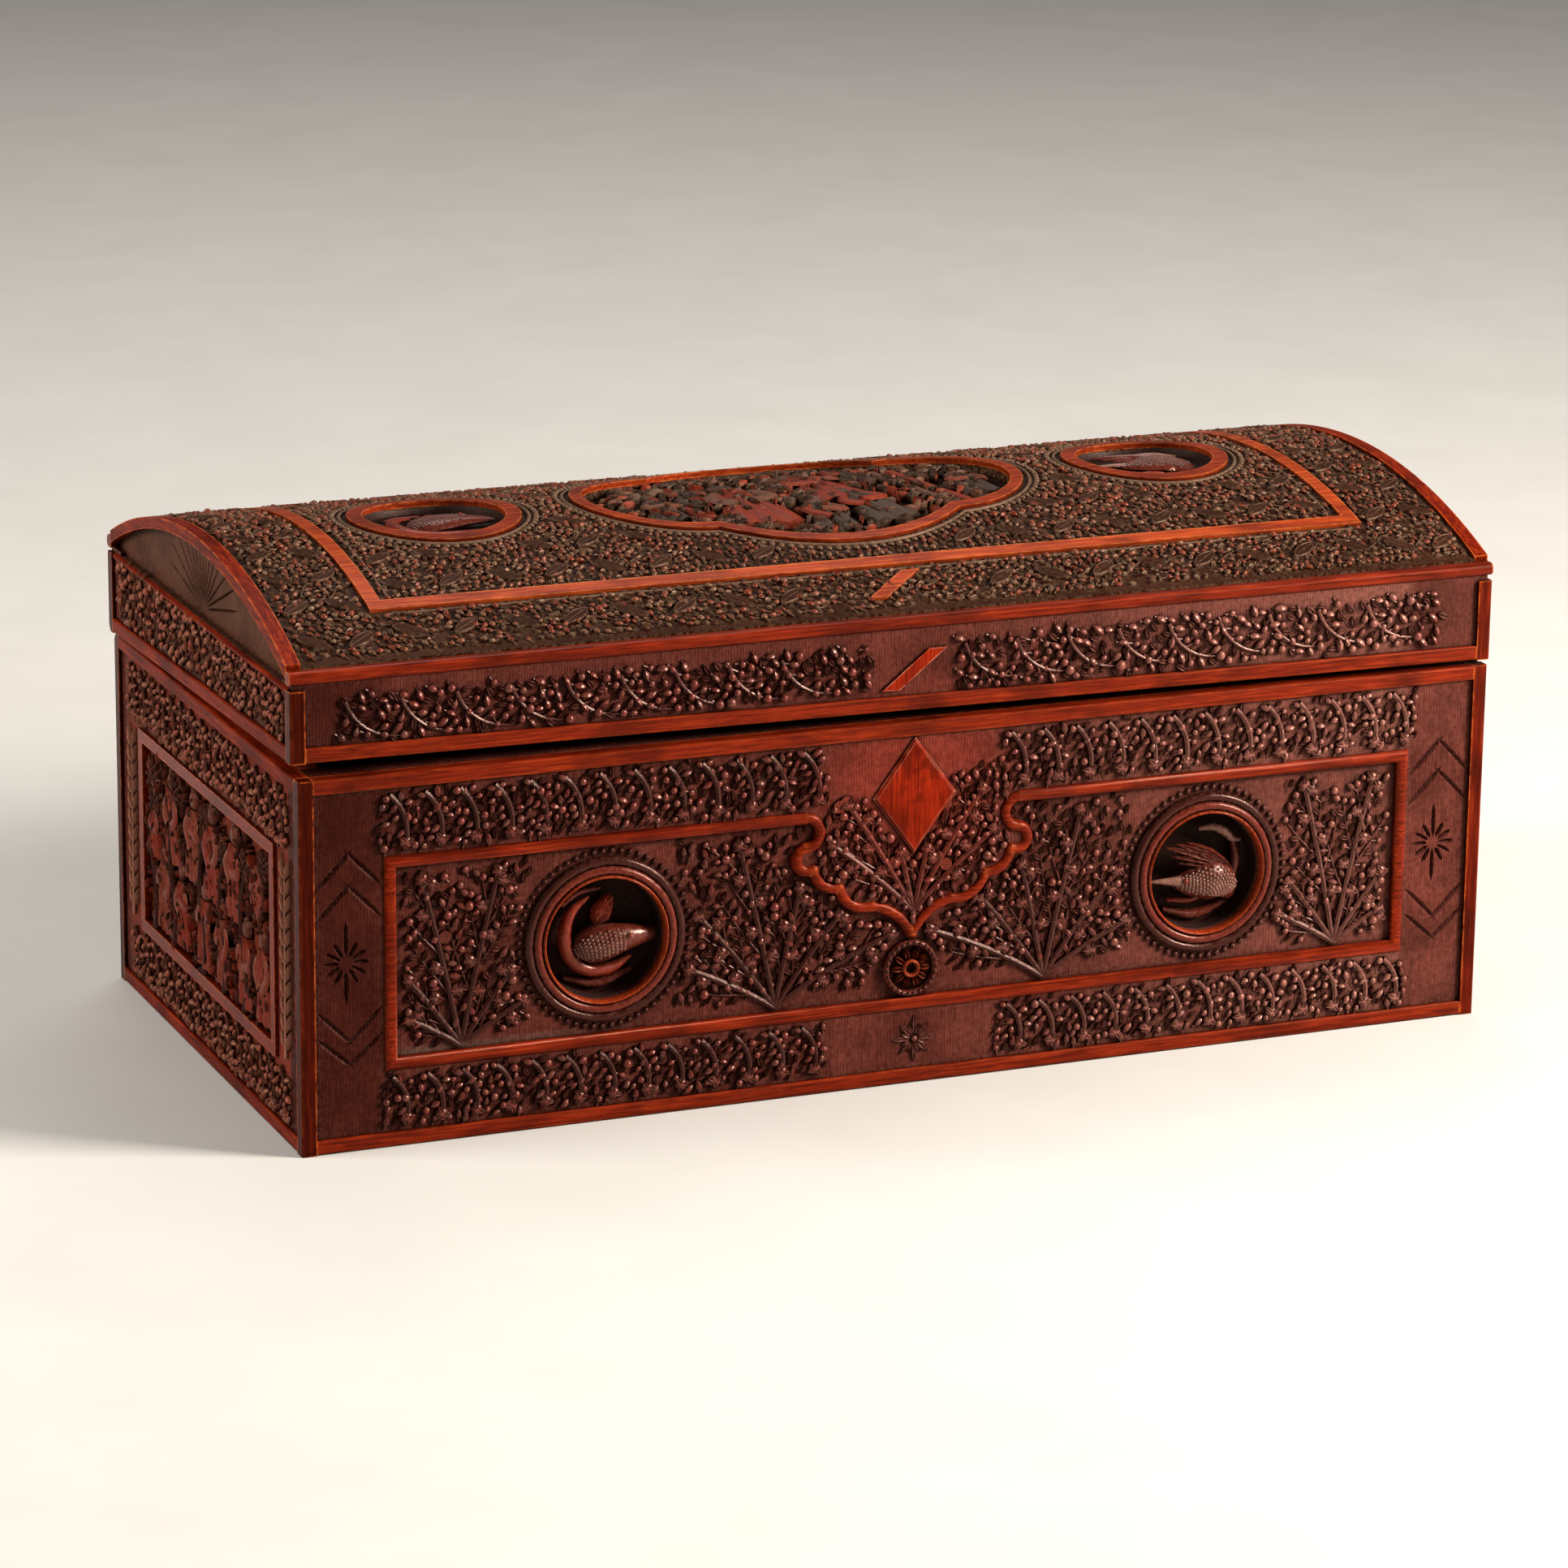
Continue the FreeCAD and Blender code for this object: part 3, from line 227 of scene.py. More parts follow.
def direction(heading):
    # Unit vector of a heading in degrees
    angle = math.radians(heading)
    return np.array((math.cos(angle), math.sin(angle)))


def walk(start, heading, bend, length, steps):
    # Path that sets out at a heading and turns evenly by the bend, both in degrees
    points = [np.array(start, float)]
    for step in range(steps):
        way = direction(heading + bend * (step + 0.5) / steps)
        points.append(points[-1] + length / steps * way)
    return np.array(points)


def arc_through(start, middle, end, steps):
    # Points on the circle through three points
    (ax, ay), (bx, by), (cx, cy) = start, middle, end
    d = 2 * (ax * (by - cy) + bx * (cy - ay) + cx * (ay - by))
    a2, b2, c2 = ax * ax + ay * ay, bx * bx + by * by, cx * cx + cy * cy
    centre = np.array(((a2 * (by - cy) + b2 * (cy - ay) + c2 * (ay - by)) / d,
                       (a2 * (cx - bx) + b2 * (ax - cx) + c2 * (bx - ax)) / d))
    radius = math.dist(start, centre)
    first, mid, last = [math.atan2(p[1] - centre[1], p[0] - centre[0]) for p in (start, middle, end)]
    turn = (last - first) % (2 * math.pi)
    if (mid - first) % (2 * math.pi) > turn:
        turn -= 2 * math.pi
    angles = first + turn * np.linspace(0, 1, steps + 1)
    return centre + radius * np.column_stack((np.cos(angles), np.sin(angles)))


def circle(centre, radius, steps):
    angles = np.linspace(0, 2 * math.pi, steps, endpoint=False)
    return np.array(centre) + radius * np.column_stack((np.cos(angles), np.sin(angles)))


def rounded(points, count):
    # Smooth curve through control points of any dimension
    points = np.array(points, float)
    ends = np.vstack((2 * points[0] - points[1], points, 2 * points[-1] - points[-2]))
    result = []
    for place in np.linspace(0, len(points) - 1, count):
        i = min(int(place), len(points) - 2)
        t = place - i
        p0, p1, p2, p3 = ends[i:i + 4]
        result.append(0.5 * (2 * p1 + (p2 - p0) * t + (2 * p0 - 5 * p1 + 4 * p2 - p3) * t * t
                             + (3 * p1 - p0 - 3 * p2 + p3) * t ** 3))
    return np.array(result)


def side_normals(path, closed):
    # Direction to the left of a path, stretched at corners so that a strip keeps its width
    ahead = np.roll(path, -1, axis=0) - path
    if not closed:
        ahead[-1] = ahead[-2]
    ahead = ahead / np.linalg.norm(ahead, axis=1)[:, None]
    behind = np.roll(ahead, 1, axis=0)
    if not closed:
        behind[0] = ahead[0]
    total = ahead + behind
    total = np.column_stack((-total[:, 1], total[:, 0]))
    return 2 * total / np.sum(total * total, axis=1)[:, None]


# Facets of a rounded strip
round_steps = 6


def half_round(half_width, height, sink=0.4, foot=0.0):
    # Profile of a rounded strip: its sides rise from below the ground to the foot, then round over
    angles = np.linspace(math.pi, 0, round_steps + 1)
    top = [(half_width * math.cos(a), foot + (height - foot) * math.sin(a)) for a in angles]
    return [(-half_width, -sink)] + top + [(half_width, -sink)]


def sweep(carving, path, profile, tone, closed=False):
    path = np.array(path, float)
    normals = side_normals(path, closed)
    rows = [np.column_stack((path + normals * side, np.full(len(path), height))) for side, height in profile]
    carving.add_grid(np.stack(rows, axis=1), tone, closed)


# Motifs


# Radius and height of a berry's rings, as shares of its radius and height, from its foot to near its top
berry_rings = ((0.82, 0.0), (1.0, 0.30), (0.90, 0.62), (0.55, 0.90))


def berry(carving, u, v, radius, height, tone, sides=8, lift=0.0, sink=0.3):
    turns = np.linspace(0, 2 * math.pi, sides, endpoint=False)
    levels = [(berry_rings[0][0] * radius, lift - sink)]
    levels += [(share * radius, lift + rise * height) for share, rise in berry_rings]
    points = [np.column_stack((u + r * np.cos(turns), v + r * np.sin(turns), np.full(sides, h)))
              for r, h in levels]
    points.append(np.array([[u, v, lift + height]]))
    faces = [tuple(range(sides))]
    for ring in range(len(levels) - 1):
        for side in range(sides):
            after = (side + 1) % sides
            here = ring * sides
            faces.append((here + side, here + after, here + sides + after, here + sides + side))
    top = len(levels) * sides
    for side in range(sides):
        faces.append((top - sides + side, top - sides + (side + 1) % sides, top))
    carving.add(np.vstack(points), faces, tone)


# Height of the thickest stems
stem_peak = 1.2

# A leaf's half width and the rise of its lobes and crease, at stations along it
leaf_stations = ((0.0, 0.08, 0.30), (0.22, 0.72, 0.85), (0.5, 1.0, 1.0), (0.78, 0.62, 0.8), (1.0, 0.05, 0.3))
leaf_half = ((-1.0, -0.35), (-0.95, 0.25), (-0.5, 1.0), (0.0, 0.5))
leaf_section = np.array(leaf_half + tuple((-side, rise) for side, rise in reversed(leaf_half[:-1])))


def leaf(carving, u, v, heading, length, width, height, tone, bend=0.0, lift=0.0, grounded=False):
    # Creased leaf; a lifted one that is grounded has its edges reach down to the ground
    angle = math.radians(heading)
    under = leaf_section[:, 1] - lift * grounded
    rows = []
    for along, breadth, rise in leaf_stations:
        side = leaf_section[:, 0] * breadth * width / 2 + bend * length * along * along
        forward = np.full(len(side), along * length)
        up = np.where(leaf_section[:, 1] > 0, leaf_section[:, 1] * rise * height, under)
        rows.append(np.column_stack((u + forward * math.cos(angle) - side * math.sin(angle),
                                     v + forward * math.sin(angle) + side * math.cos(angle), lift + up)))
    carving.add_grid(np.stack(rows), tone)


def painted_shadow(carving, u, v, heading, length, width, height):
    # Low dark lens of painted shadow, standing for a deep cut in shade between leaves
    along = direction(heading)
    aside = np.array((-along[1], along[0]))
    shape = ((-0.5, 0.0), (-0.2, -0.5), (0.2, -0.5), (0.5, 0.0), (0.2, 0.5), (-0.2, 0.5))
    outline = np.array([(u, v) + length * forward * along + width * side * aside for forward, side in shape])
    rows = [np.column_stack((outline, np.full(len(outline), level))) for level in (-0.2, height)]
    carving.add_grid(np.stack(rows), SHADOW_TONE)


def stem(carving, path, thick, thin, tone):
    # Ridge along a path that gets thinner and lower towards its end
    normals = side_normals(path, False)
    rows = []
    for share, point, normal in zip(np.linspace(0, 1, len(path)), path, normals):
        half = (thick + (thin - thick) * share) / 2
        peak = min(1.8 * half, stem_peak)
        shoulder = (0.8 * half, 0.75 * peak)
        section = [(-half, -0.3), (-shoulder[0], shoulder[1]), (0, peak), shoulder, (half, -0.3)]
        rows.append([(point[0] + normal[0] * s, point[1] + normal[1] * s, h) for s, h in section])
    carving.add_grid(np.array(rows), tone)


def stalk(carving, start, end, thick, thin):
    # Short straight stem
    stem(carving, np.array((start, (start + end) / 2, end)), thick, thin, LEAF_TONE)


def tube(carving, spine, widths, heights, tone, sides=12):
    # Rounded body along a spine of (u, v, h), with half its width and height at each point
    spine = np.array(spine, float)
    normals = side_normals(spine[:, :2], False)
    normals = normals / np.linalg.norm(normals, axis=1)[:, None]
    turns = np.linspace(0, 2 * math.pi, sides, endpoint=False)
    rows = []
    for centre, normal, width, height in zip(spine, normals, widths, heights):
        side = width * np.cos(turns)
        rows.append(np.column_stack((centre[0] + normal[0] * side, centre[1] + normal[1] * side,
                                     centre[2] + height * np.sin(turns))))
    carving.add_grid(np.stack(rows), tone)


def pearls(carving, path, pitch, radius, tone):
    # Row of small beads along a closed path, evenly spaced
    closed = np.vstack((path, path[:1]))
    lengths = np.concatenate(((0,), np.cumsum(np.linalg.norm(np.diff(closed, axis=0), axis=1))))
    count = int(round(lengths[-1] / pitch))
    for place in np.linspace(0, lengths[-1], count, endpoint=False):
        u = np.interp(place, lengths, closed[:, 0])
        v = np.interp(place, lengths, closed[:, 1])
        berry(carving, u, v, radius, 1.1 * radius, tone, sides=7)


# Distance of a rosette's petals from its middle
star_middle = 0.8


def star(carving, u, v, long, short, width, tone):
    # Rosette of sixteen petals in three lengths round a bead
    for step in range(16):
        heading = step * 22.5
        length = (long if step % 4 == 0 else short) if step % 2 == 0 else 0.72 * short
        start = (u, v) + star_middle * direction(heading)
        leaf(carving, *start, heading, length - star_middle, width, 0.7, tone)
    berry(carving, u, v, 0.9, 1.0, tone)


class Crowd:
    """Remembers where berries and leaves are, so that others keep clear of them."""

    # Places are sorted into square cells of this size, so that only near ones are compared
    cell = 3.0

    def __init__(self):
        self.cells = {}

    def key(self, u, v):
        return (math.floor(u / self.cell), math.floor(v / self.cell))

    def add(self, u, v):
        self.cells.setdefault(self.key(u, v), []).append((u, v))

    def free(self, u, v, gap):
        column, row = self.key(u, v)
        for i in (column - 1, column, column + 1):
            for j in (row - 1, row, row + 1):
                for other in self.cells.get((i, j), ()):
                    if math.dist(other, (u, v)) < gap:
                        return False
        return True


# Tones pick the colour of carved shapes: the darkest for painted shadows, the brightest for berries
BERRY_TONE = 1.0
PETAL_TONE = 0.75
STEM_TONE = 0.55
CRESTED_SCALES_TONE = 0.44
RESTING_SCALES_TONE = 0.42
STAR_TONE = 0.42
LEAF_TONE = 0.3
STALK_TONE = 0.26
LEAF_RIM_TONE = 0.23
DARK_STEM_TONE = 0.22
SHADOW_TONE = 0.15

# Rings of a bud from its foot to its point: place along it, half width and half height
bud_places = (-0.5, -0.2, 0.2, 0.5)
bud_widths = np.array((0.35, 0.85, 0.75, 0.15))
bud_heights = np.array((0.5, 1.1, 1.0, 0.3))
bud_lift = 0.3

# Main stems bend away from upright as they grow, as the ribs of the solids do
stem_curl = 0.35
stem_reach = 46.0
stem_shortest = 10.0
berry_pitch = 7.0
berry_offset = 2.0
large_berry = 1.7

# Twigs of a main stem: share of its length and side
side_twigs = ((0.3, 1), (0.42, -1), (0.54, 1), (0.66, -1), (0.78, 1))

# Twigs in rows: how far they bend and how much their headings vary, in degrees
row_bend = 24.0
row_jitter = 8.0


def stem_point(root, heading, distance):
    bend = (heading - 90) * stem_curl * distance / stem_reach
    return np.array(root) + distance * direction(heading + bend / 2)


class Foliage:
    """Berried twigs that grow over part of a face."""

    def __init__(self, carving, seed, inside, berry_radius, gap):
        self.carving = carving
        self.random = np.random.default_rng(seed)
        self.inside = inside
        self.berry_radius = berry_radius
        self.gap = gap
        self.crowd = Crowd()

    def shade(self, u, v, heading):
        # Painted shadow beside a berry or leaf, on the side away from the light
        offset = np.array((self.random.uniform(-0.75, -0.4), self.random.uniform(-0.5, -0.1)))
        cut = np.array((u, v)) + self.gap * offset
        if self.inside(*cut):
            turned = heading + self.random.uniform(-25, 25)
            length = 1.5 * self.gap * self.random.uniform(0.8, 1.2)
            painted_shadow(self.carving, *cut, turned, length, 0.62 * self.gap, self.random.uniform(0.08, 0.16))

    def fruit(self, u, v, scale=1.0):
        radius = self.berry_radius * scale * self.random.uniform(0.7, 1.1)
        height = radius * self.random.uniform(1.0, 1.6)
        berry(self.carving, u, v, radius, height, BERRY_TONE * self.random.uniform(0.6, 1.0))
        self.crowd.add(u, v)
        self.shade(u, v, self.random.uniform(60, 120))

    def bud(self, u, v, heading, scale=1.0):
        # Pointed bud that lies along a heading
        length = self.berry_radius * scale * self.random.uniform(2.0, 2.8)
        spine = np.array((u, v)) + np.outer(bud_places, length * direction(heading))
        spine = np.column_stack((spine, np.full(len(spine), bud_lift)))
        half = self.berry_radius * scale
        tone = BERRY_TONE * self.random.uniform(0.55, 0.95)
        tube(self.carving, spine, half * bud_widths, half * bud_heights, tone, 7)
        self.crowd.add(u, v)
        self.shade(u, v, heading)

    def blade(self, u, v, heading, scale=1.0):
        length = self.random.uniform(2.2, 3.0) * self.berry_radius * scale
        width = self.random.uniform(1.3, 1.8) * self.berry_radius * scale
        bend = self.random.uniform(-0.2, 0.2)
        tone = self.random.uniform(LEAF_TONE, 0.7)
        leaf(self.carving, u, v, heading, length, width, 0.9 * self.berry_radius * scale, tone, bend)
        place = (u, v) + 0.5 * length * direction(heading)
        self.crowd.add(*place)
        self.shade(*place, heading)

    def berry_or_bud(self, u, v, heading):
        if self.random.random() < 0.35:
            self.fruit(u, v, self.random.uniform(0.75, 1.0))
        else:
            self.bud(u, v, heading, self.random.uniform(0.75, 1.0))

    def twig(self, start, heading, bend, length, thick, pitch=3.4, reach=2.5, leafy=0.4):
        # Stem with berries and leaves by turns on both sides and a berry at its tip
        steps = max(3, int(length / 2.2))
        path = walk(start, heading, bend, length, steps)
        kept = 1
        while kept < len(path) and self.inside(*path[kept]):
            kept += 1
        if kept < 3:
            return
        path = path[:kept]
        stem(self.carving, path, thick, 0.5 * thick, STALK_TONE)
        side = self.random.choice((-1, 1))
        place = 0.3 * pitch
        step_length = length / steps
        while place < step_length * (kept - 1):
            at = place / step_length
            low = path[int(at)]
            point = low + (path[min(int(at) + 1, kept - 1)] - low) * (at - int(at))
            way = heading + bend * place / length + side * self.random.uniform(42, 62)
            out = reach * self.random.uniform(0.8, 1.15)
            tip = point + out * direction(way)
            if self.inside(*tip) and self.crowd.free(*tip, self.gap):
                if self.random.random() < leafy:
                    self.blade(*point, way)
                else:
                    stalk(self.carving, point, tip, 0.6 * thick, 0.5 * thick)
                    self.berry_or_bud(*tip, way)
            side = -side
            place += pitch * self.random.uniform(0.42, 0.58)
        if self.crowd.free(*path[-1], 0.7 * self.gap):
            self.fruit(*path[-1], 1.1)

    def blossom(self, u, v, palest=0.6):
        # Large berry over one of the solid, with a few leaves laid over it
        berry(self.carving, u, v, large_berry, 1.3, BERRY_TONE * self.random.uniform(palest, 1.0))
        self.crowd.add(u, v)
        self.shade(u, v, 90)
        turn = self.random.uniform(0, 360)
        for step in range(3):
            heading = turn + 120 * step
            leaf(self.carving, u, v, heading, 1.35 * large_berry, large_berry, 0.8,
                 self.random.uniform(LEAF_TONE, 0.8), 0.2, 0.75, True)

    def main_stem(self, root, heading, inside):
        # Stem over a rib of the solid, to the end of its ground, with large berries on both sides by turns
        length = 0.0
        while length < stem_reach and inside(*stem_point(root, heading, length + 1.0)):
            length += 1.0
        if length < stem_shortest:
            return
        path = np.array([stem_point(root, heading, place) for place in np.linspace(0, length, 14)])
        stem(self.carving, path, 1.6, 1.5, DARK_STEM_TONE)
        berries = [path[-1]]
        for step in range(2, int(length / berry_pitch) + 1):
            way = direction(heading + (90 if step % 2 else -90))
            berries.append(stem_point(root, heading, step * berry_pitch) + berry_offset * way)
        for place in berries:
            if inside(*place) and self.crowd.free(*place, 0.8):
                self.blossom(*place)
        for share, side in side_twigs:
            way = heading + side * self.random.uniform(26, 40)
            start = stem_point(root, heading, share * length)
            self.twig(start, way, -side * 14, 0.6 * (1.1 - share) * length, 0.8)

    def fill(self, low, high, flow, leafy=0.5, tries_each=8.0):
        # Leaves and berries in the room that is left; fewer tries leave more of it bare
        tries = int((high[0] - low[0]) * (high[1] - low[1]) / self.gap ** 2 * tries_each)
        for u, v in self.random.uniform(low, high, (tries, 2)):
            if self.inside(u, v) and self.crowd.free(u, v, self.gap):
                way = flow + self.random.uniform(-45, 45)
                if self.random.random() < leafy:
                    self.blade(u, v, way, self.random.uniform(0.75, 1.0))
                else:
                    tip = np.array((u, v))
                    stalk(self.carving, tip - 2.0 * direction(way), tip, 0.6, 0.45)
                    self.berry_or_bud(u, v, way)

    def rows(self, low, high, pitch, heading, length, thick=0.7):
        # Slanted twigs side by side along a band
        u = low[0]
        while u < high[0]:
            v = low[1]
            while v < high[1]:
                start = (u + self.random.uniform(-1, 1), v + self.random.uniform(-1, 1))
                if self.inside(*start):
                    turn = row_bend * self.random.choice((-1, 1))
                    way = heading + self.random.uniform(-row_jitter, row_jitter) - turn / 2
                    self.twig(start, way, turn, length, thick)
                v += pitch[1]
            u += pitch[0]


# Materials


def put(tree, kind, inputs=None, **settings):
    # Adds a node, sets it, and links or sets its inputs
    node = tree.nodes.new(kind)
    for key, value in settings.items():
        setattr(node, key, value)
    for key, value in (inputs or {}).items():
        if isinstance(value, bpy.types.NodeSocket):
            tree.links.new(value, node.inputs[key])
        else:
            node.inputs[key].default_value = value
    return node


def new_material(name):
    material = bpy.data.materials.new(name)
    material.use_nodes = True
    tree = material.node_tree
    return material, tree, tree.nodes["Principled BSDF"]


def ramp(tree, factor, stops):
    node = put(tree, "ShaderNodeValToRGB", {"Fac": factor})
    points = node.color_ramp.elements
    while len(points) < len(stops):
        points.new(0.5)
    for point, (place, colour) in zip(points, stops):
        point.position = place
        point.color = (*colour, 1.0)
    return node.outputs["Color"]


def mix(tree, factor, first, second):
    node = put(tree, "ShaderNodeMix", data_type="RGBA")
    for socket, value in ((node.inputs[0], factor), (node.inputs[6], first), (node.inputs[7], second)):
        if isinstance(value, bpy.types.NodeSocket):
            tree.links.new(value, socket)
        elif isinstance(value, tuple):
            socket.default_value = (*value, 1.0)
        else:
            socket.default_value = value
    return node.outputs[2]


def spread(tree, value, low, high, to_low, to_high):
    node = put(tree, "ShaderNodeMapRange", {"Value": value, "From Min": low, "From Max": high,
                                            "To Min": to_low, "To Max": to_high})
    return node.outputs["Result"]


def times(tree, first, second):
    return put(tree, "ShaderNodeMath", {0: first, 1: second}, operation="MULTIPLY").outputs[0]


def millimetres(tree, scale=(1.0, 1.0, 1.0)):
    place = put(tree, "ShaderNodeTexCoord").outputs["Object"]
    inputs = {"Vector": place, "Scale": tuple(s / MM for s in scale)}
    return put(tree, "ShaderNodeMapping", inputs).outputs["Vector"]


def noise(tree, vector, scale, detail=4.0, roughness=0.55, distortion=0.0):
    node = put(tree, "ShaderNodeTexNoise", {"Vector": vector, "Scale": scale, "Detail": detail,
                                            "Roughness": roughness, "Distortion": distortion})
    return node.outputs["Fac"]


def recess(tree, distance):
    # One in the open, falling to nothing deep between shapes
    node = put(tree, "ShaderNodeAmbientOcclusion", {"Distance": distance * MM}, samples=6)
    return node.outputs["AO"]


def edge_wear_and_highlight(tree, radius):
    # One along outside edges, nothing on flat faces
    soft = put(tree, "ShaderNodeBevel", {"Radius": radius * MM}, samples=4).outputs["Normal"]
    sharp = put(tree, "ShaderNodeNewGeometry").outputs["Normal"]
    match = put(tree, "ShaderNodeVectorMath", {0: soft, 1: sharp}, operation="DOT_PRODUCT").outputs["Value"]
    return spread(tree, match, 0.99, 0.8, 0.0, 1.0)


def bump(tree, height, strength, distance, base=None):
    inputs = {"Height": height, "Strength": strength, "Distance": distance * MM}
    if base is not None:
        inputs["Normal"] = base
    return put(tree, "ShaderNodeBump", inputs).outputs["Normal"]


def paint(tree, shader, colour, roughness, normal):
    # Links colour, roughness and bumped normal to the surface
    for name, value in (("Base Color", colour), ("Roughness", roughness), ("Normal", normal)):
        tree.links.new(value, shader.inputs[name])


WARM_SHEEN = (1.0, 0.36, 0.2, 1.0)
PALE_SHEEN = (1.0, 0.64, 0.52, 1.0)
TAN_SHEEN = (1.0, 0.52, 0.35, 1.0)
GRAIN_ALONG = {"x": (0.05, 1.0, 1.0), "y": (1.0, 0.05, 1.0), "z": (1.0, 1.0, 0.05)}


def polished_wood(name, axis, dark, mid, light, worn_and_lit, roughness=0.3, wear_and_highlight=0.7, mottle=0.0, gloss=0.16):
    # Polished strip: grain along one axis, darker blotches, pale edges that are partly wear and partly
    # painted highlight, and painted shade in the corners
    material, tree, shader = new_material(name)
    grain_place = millimetres(tree, GRAIN_ALONG[axis])
    place = millimetres(tree)
    grain = noise(tree, grain_place, 1.3, 5.0, 0.6, 0.6)
    blotch = noise(tree, place, 0.055, 3.0)
    fine = noise(tree, grain_place, 6.0, 2.0)
    colour = ramp(tree, grain, ((0.28, dark), (0.5, mid), (0.72, light)))
    colour = mix(tree, spread(tree, blotch, 0.45, 0.7, 0.0, 0.75), colour, dark)
    colour = mix(tree, spread(tree, noise(tree, place, 0.2, 5.0), 0.5, 0.64, 0.0, mottle), colour, dark)
    patchy = spread(tree, noise(tree, place, 0.35, 4.0), 0.38, 0.62, 0.1, 1.0)
    # Pale edges: worn wood, and a painted highlight along them
    colour = mix(tree, times(tree, times(tree, edge_wear_and_highlight(tree, 0.7), patchy), wear_and_highlight), colour, worn_and_lit)
    # Painted shade in the corners
    open_air = spread(tree, recess(tree, 2.5), 0.25, 0.8, 0.0, 1.0)
    colour = mix(tree, open_air, tuple(0.22 * c for c in dark), colour)
    rough = spread(tree, fine, 0.2, 0.8, roughness - 0.08, roughness + 0.14)
    paint(tree, shader, colour, rough, bump(tree, fine, 0.12, 0.2, bump(tree, grain, 0.15, 0.4)))
    shader.inputs["Specular IOR Level"].default_value = gloss
    shader.inputs["Specular Tint"].default_value = WARM_SHEEN
    return material


# Near black red: dirt specks, painted shade in the hollows and painted shadows
DIRT_AND_SHADE = (0.013, 0.0013, 0.0005)


def carved_wood(name, hatch, ground, leaf_colour, stem_colour, berry_colour, dust=(0.17, 0.10, 0.08),
                dust_share=0.3, roughness=0.4, hollow=(0.3, 0.85), zones=None, gloss=0.5, sheen=PALE_SHEEN):
    # Carved ground and ornament: hatched ground, ornament coloured by tone, dark specks of dirt, dust and
    # painted shade in the hollows
    material, tree, shader = new_material(name)
    place = millimetres(tree)
    tone = put(tree, "ShaderNodeAttribute", attribute_name="tone").outputs["Fac"]
    relief = put(tree, "ShaderNodeAttribute", attribute_name="relief").outputs["Fac"]
    blotch = noise(tree, place, 0.07, 4.0)
    speck = noise(tree, place, 0.9, 4.0)
    streak = noise(tree, millimetres(tree, (1.0, 1.0, 0.12)), 1.6, 4.0)
    colour = mix(tree, spread(tree, blotch, 0.35, 0.65, 0.0, 1.0), ground, tuple(1.8 * c for c in ground))
    colour = mix(tree, spread(tree, streak, 0.45, 0.7, 0.0, 0.5), colour, tuple(0.45 * c for c in ground))
    # The darkest tone is for painted shadows and takes the near black shade colour
    ornament = ramp(tree, tone, ((0.2, DIRT_AND_SHADE), (0.3, leaf_colour), (0.55, stem_colour), (0.85, berry_colour)))
    colour = mix(tree, spread(tree, tone, 0.0, 0.1, 0.0, 1.0), colour, ornament)
    if zones:
        colour = zones(tree, place, tone, colour)
    # Dark specks of dirt
    colour = mix(tree, spread(tree, speck, 0.35, 0.7, 0.45, 0.0), colour, DIRT_AND_SHADE)
    air = recess(tree, 3.5)
    speckled = spread(tree, speck, 0.42, 0.6, 0.0, 1.0)
    dusty = times(tree, spread(tree, air, 0.9, 0.65, 0.0, dust_share), speckled)
    colour = mix(tree, dusty, colour, dust)
    # Painted shade deep in the hollows between shapes
    colour = mix(tree, spread(tree, air, *hollow, 0.0, 1.0), DIRT_AND_SHADE, colour)
    rough = spread(tree, speck, 0.25, 0.75, roughness - 0.14, roughness + 0.1)
    wave = put(tree, "ShaderNodeTexWave", {"Vector": place, "Scale": 0.4, "Distortion": 4.0, "Detail": 3.0,
                                           "Detail Scale": 0.8}, bands_direction=hatch.upper())
    lines = times(tree, wave.outputs["Fac"], spread(tree, relief, 0.0, 0.1, 1.0, 0.0))
    paint(tree, shader, colour, rough, bump(tree, speck, 0.3, 0.3, bump(tree, lines, 0.3, 0.15)))
    on_top = spread(tree, relief, 0.15, 0.6, 0.2 * gloss, gloss)
    shine = times(tree, on_top, spread(tree, tone, 0.2, 0.3, 0.3, 1.0))
    tree.links.new(shine, shader.inputs["Specular IOR Level"])
    shader.inputs["Specular Tint"].default_value = sheen
    return material


# Where the colours of the front change: spans along it, and a span away from the diamond
dark_end_x = (-134.0, -141.0)
plain_end_x = (136.0, 140.0)
paler_x = (10.0, 130.0)
dusty_x = (-134.0, -70.0)
dust_edge_x = (-137.0, -136.0)
reddened = (14.0, 33.0)
panel_middle = (moulding_low[2] + moulding_high[2]) / 2
panel_reach = (moulding_high[2] - moulding_low[2]) / 2
dust_low = panel_bottom + moulding_width
# Pale colour of the painted light towards the right
PAINTED_LIGHT_TINT = (0.38, 0.15, 0.11)
GREY_DUST = (0.21, 0.15, 0.11)
WARM_RED = (0.26, 0.030, 0.016)


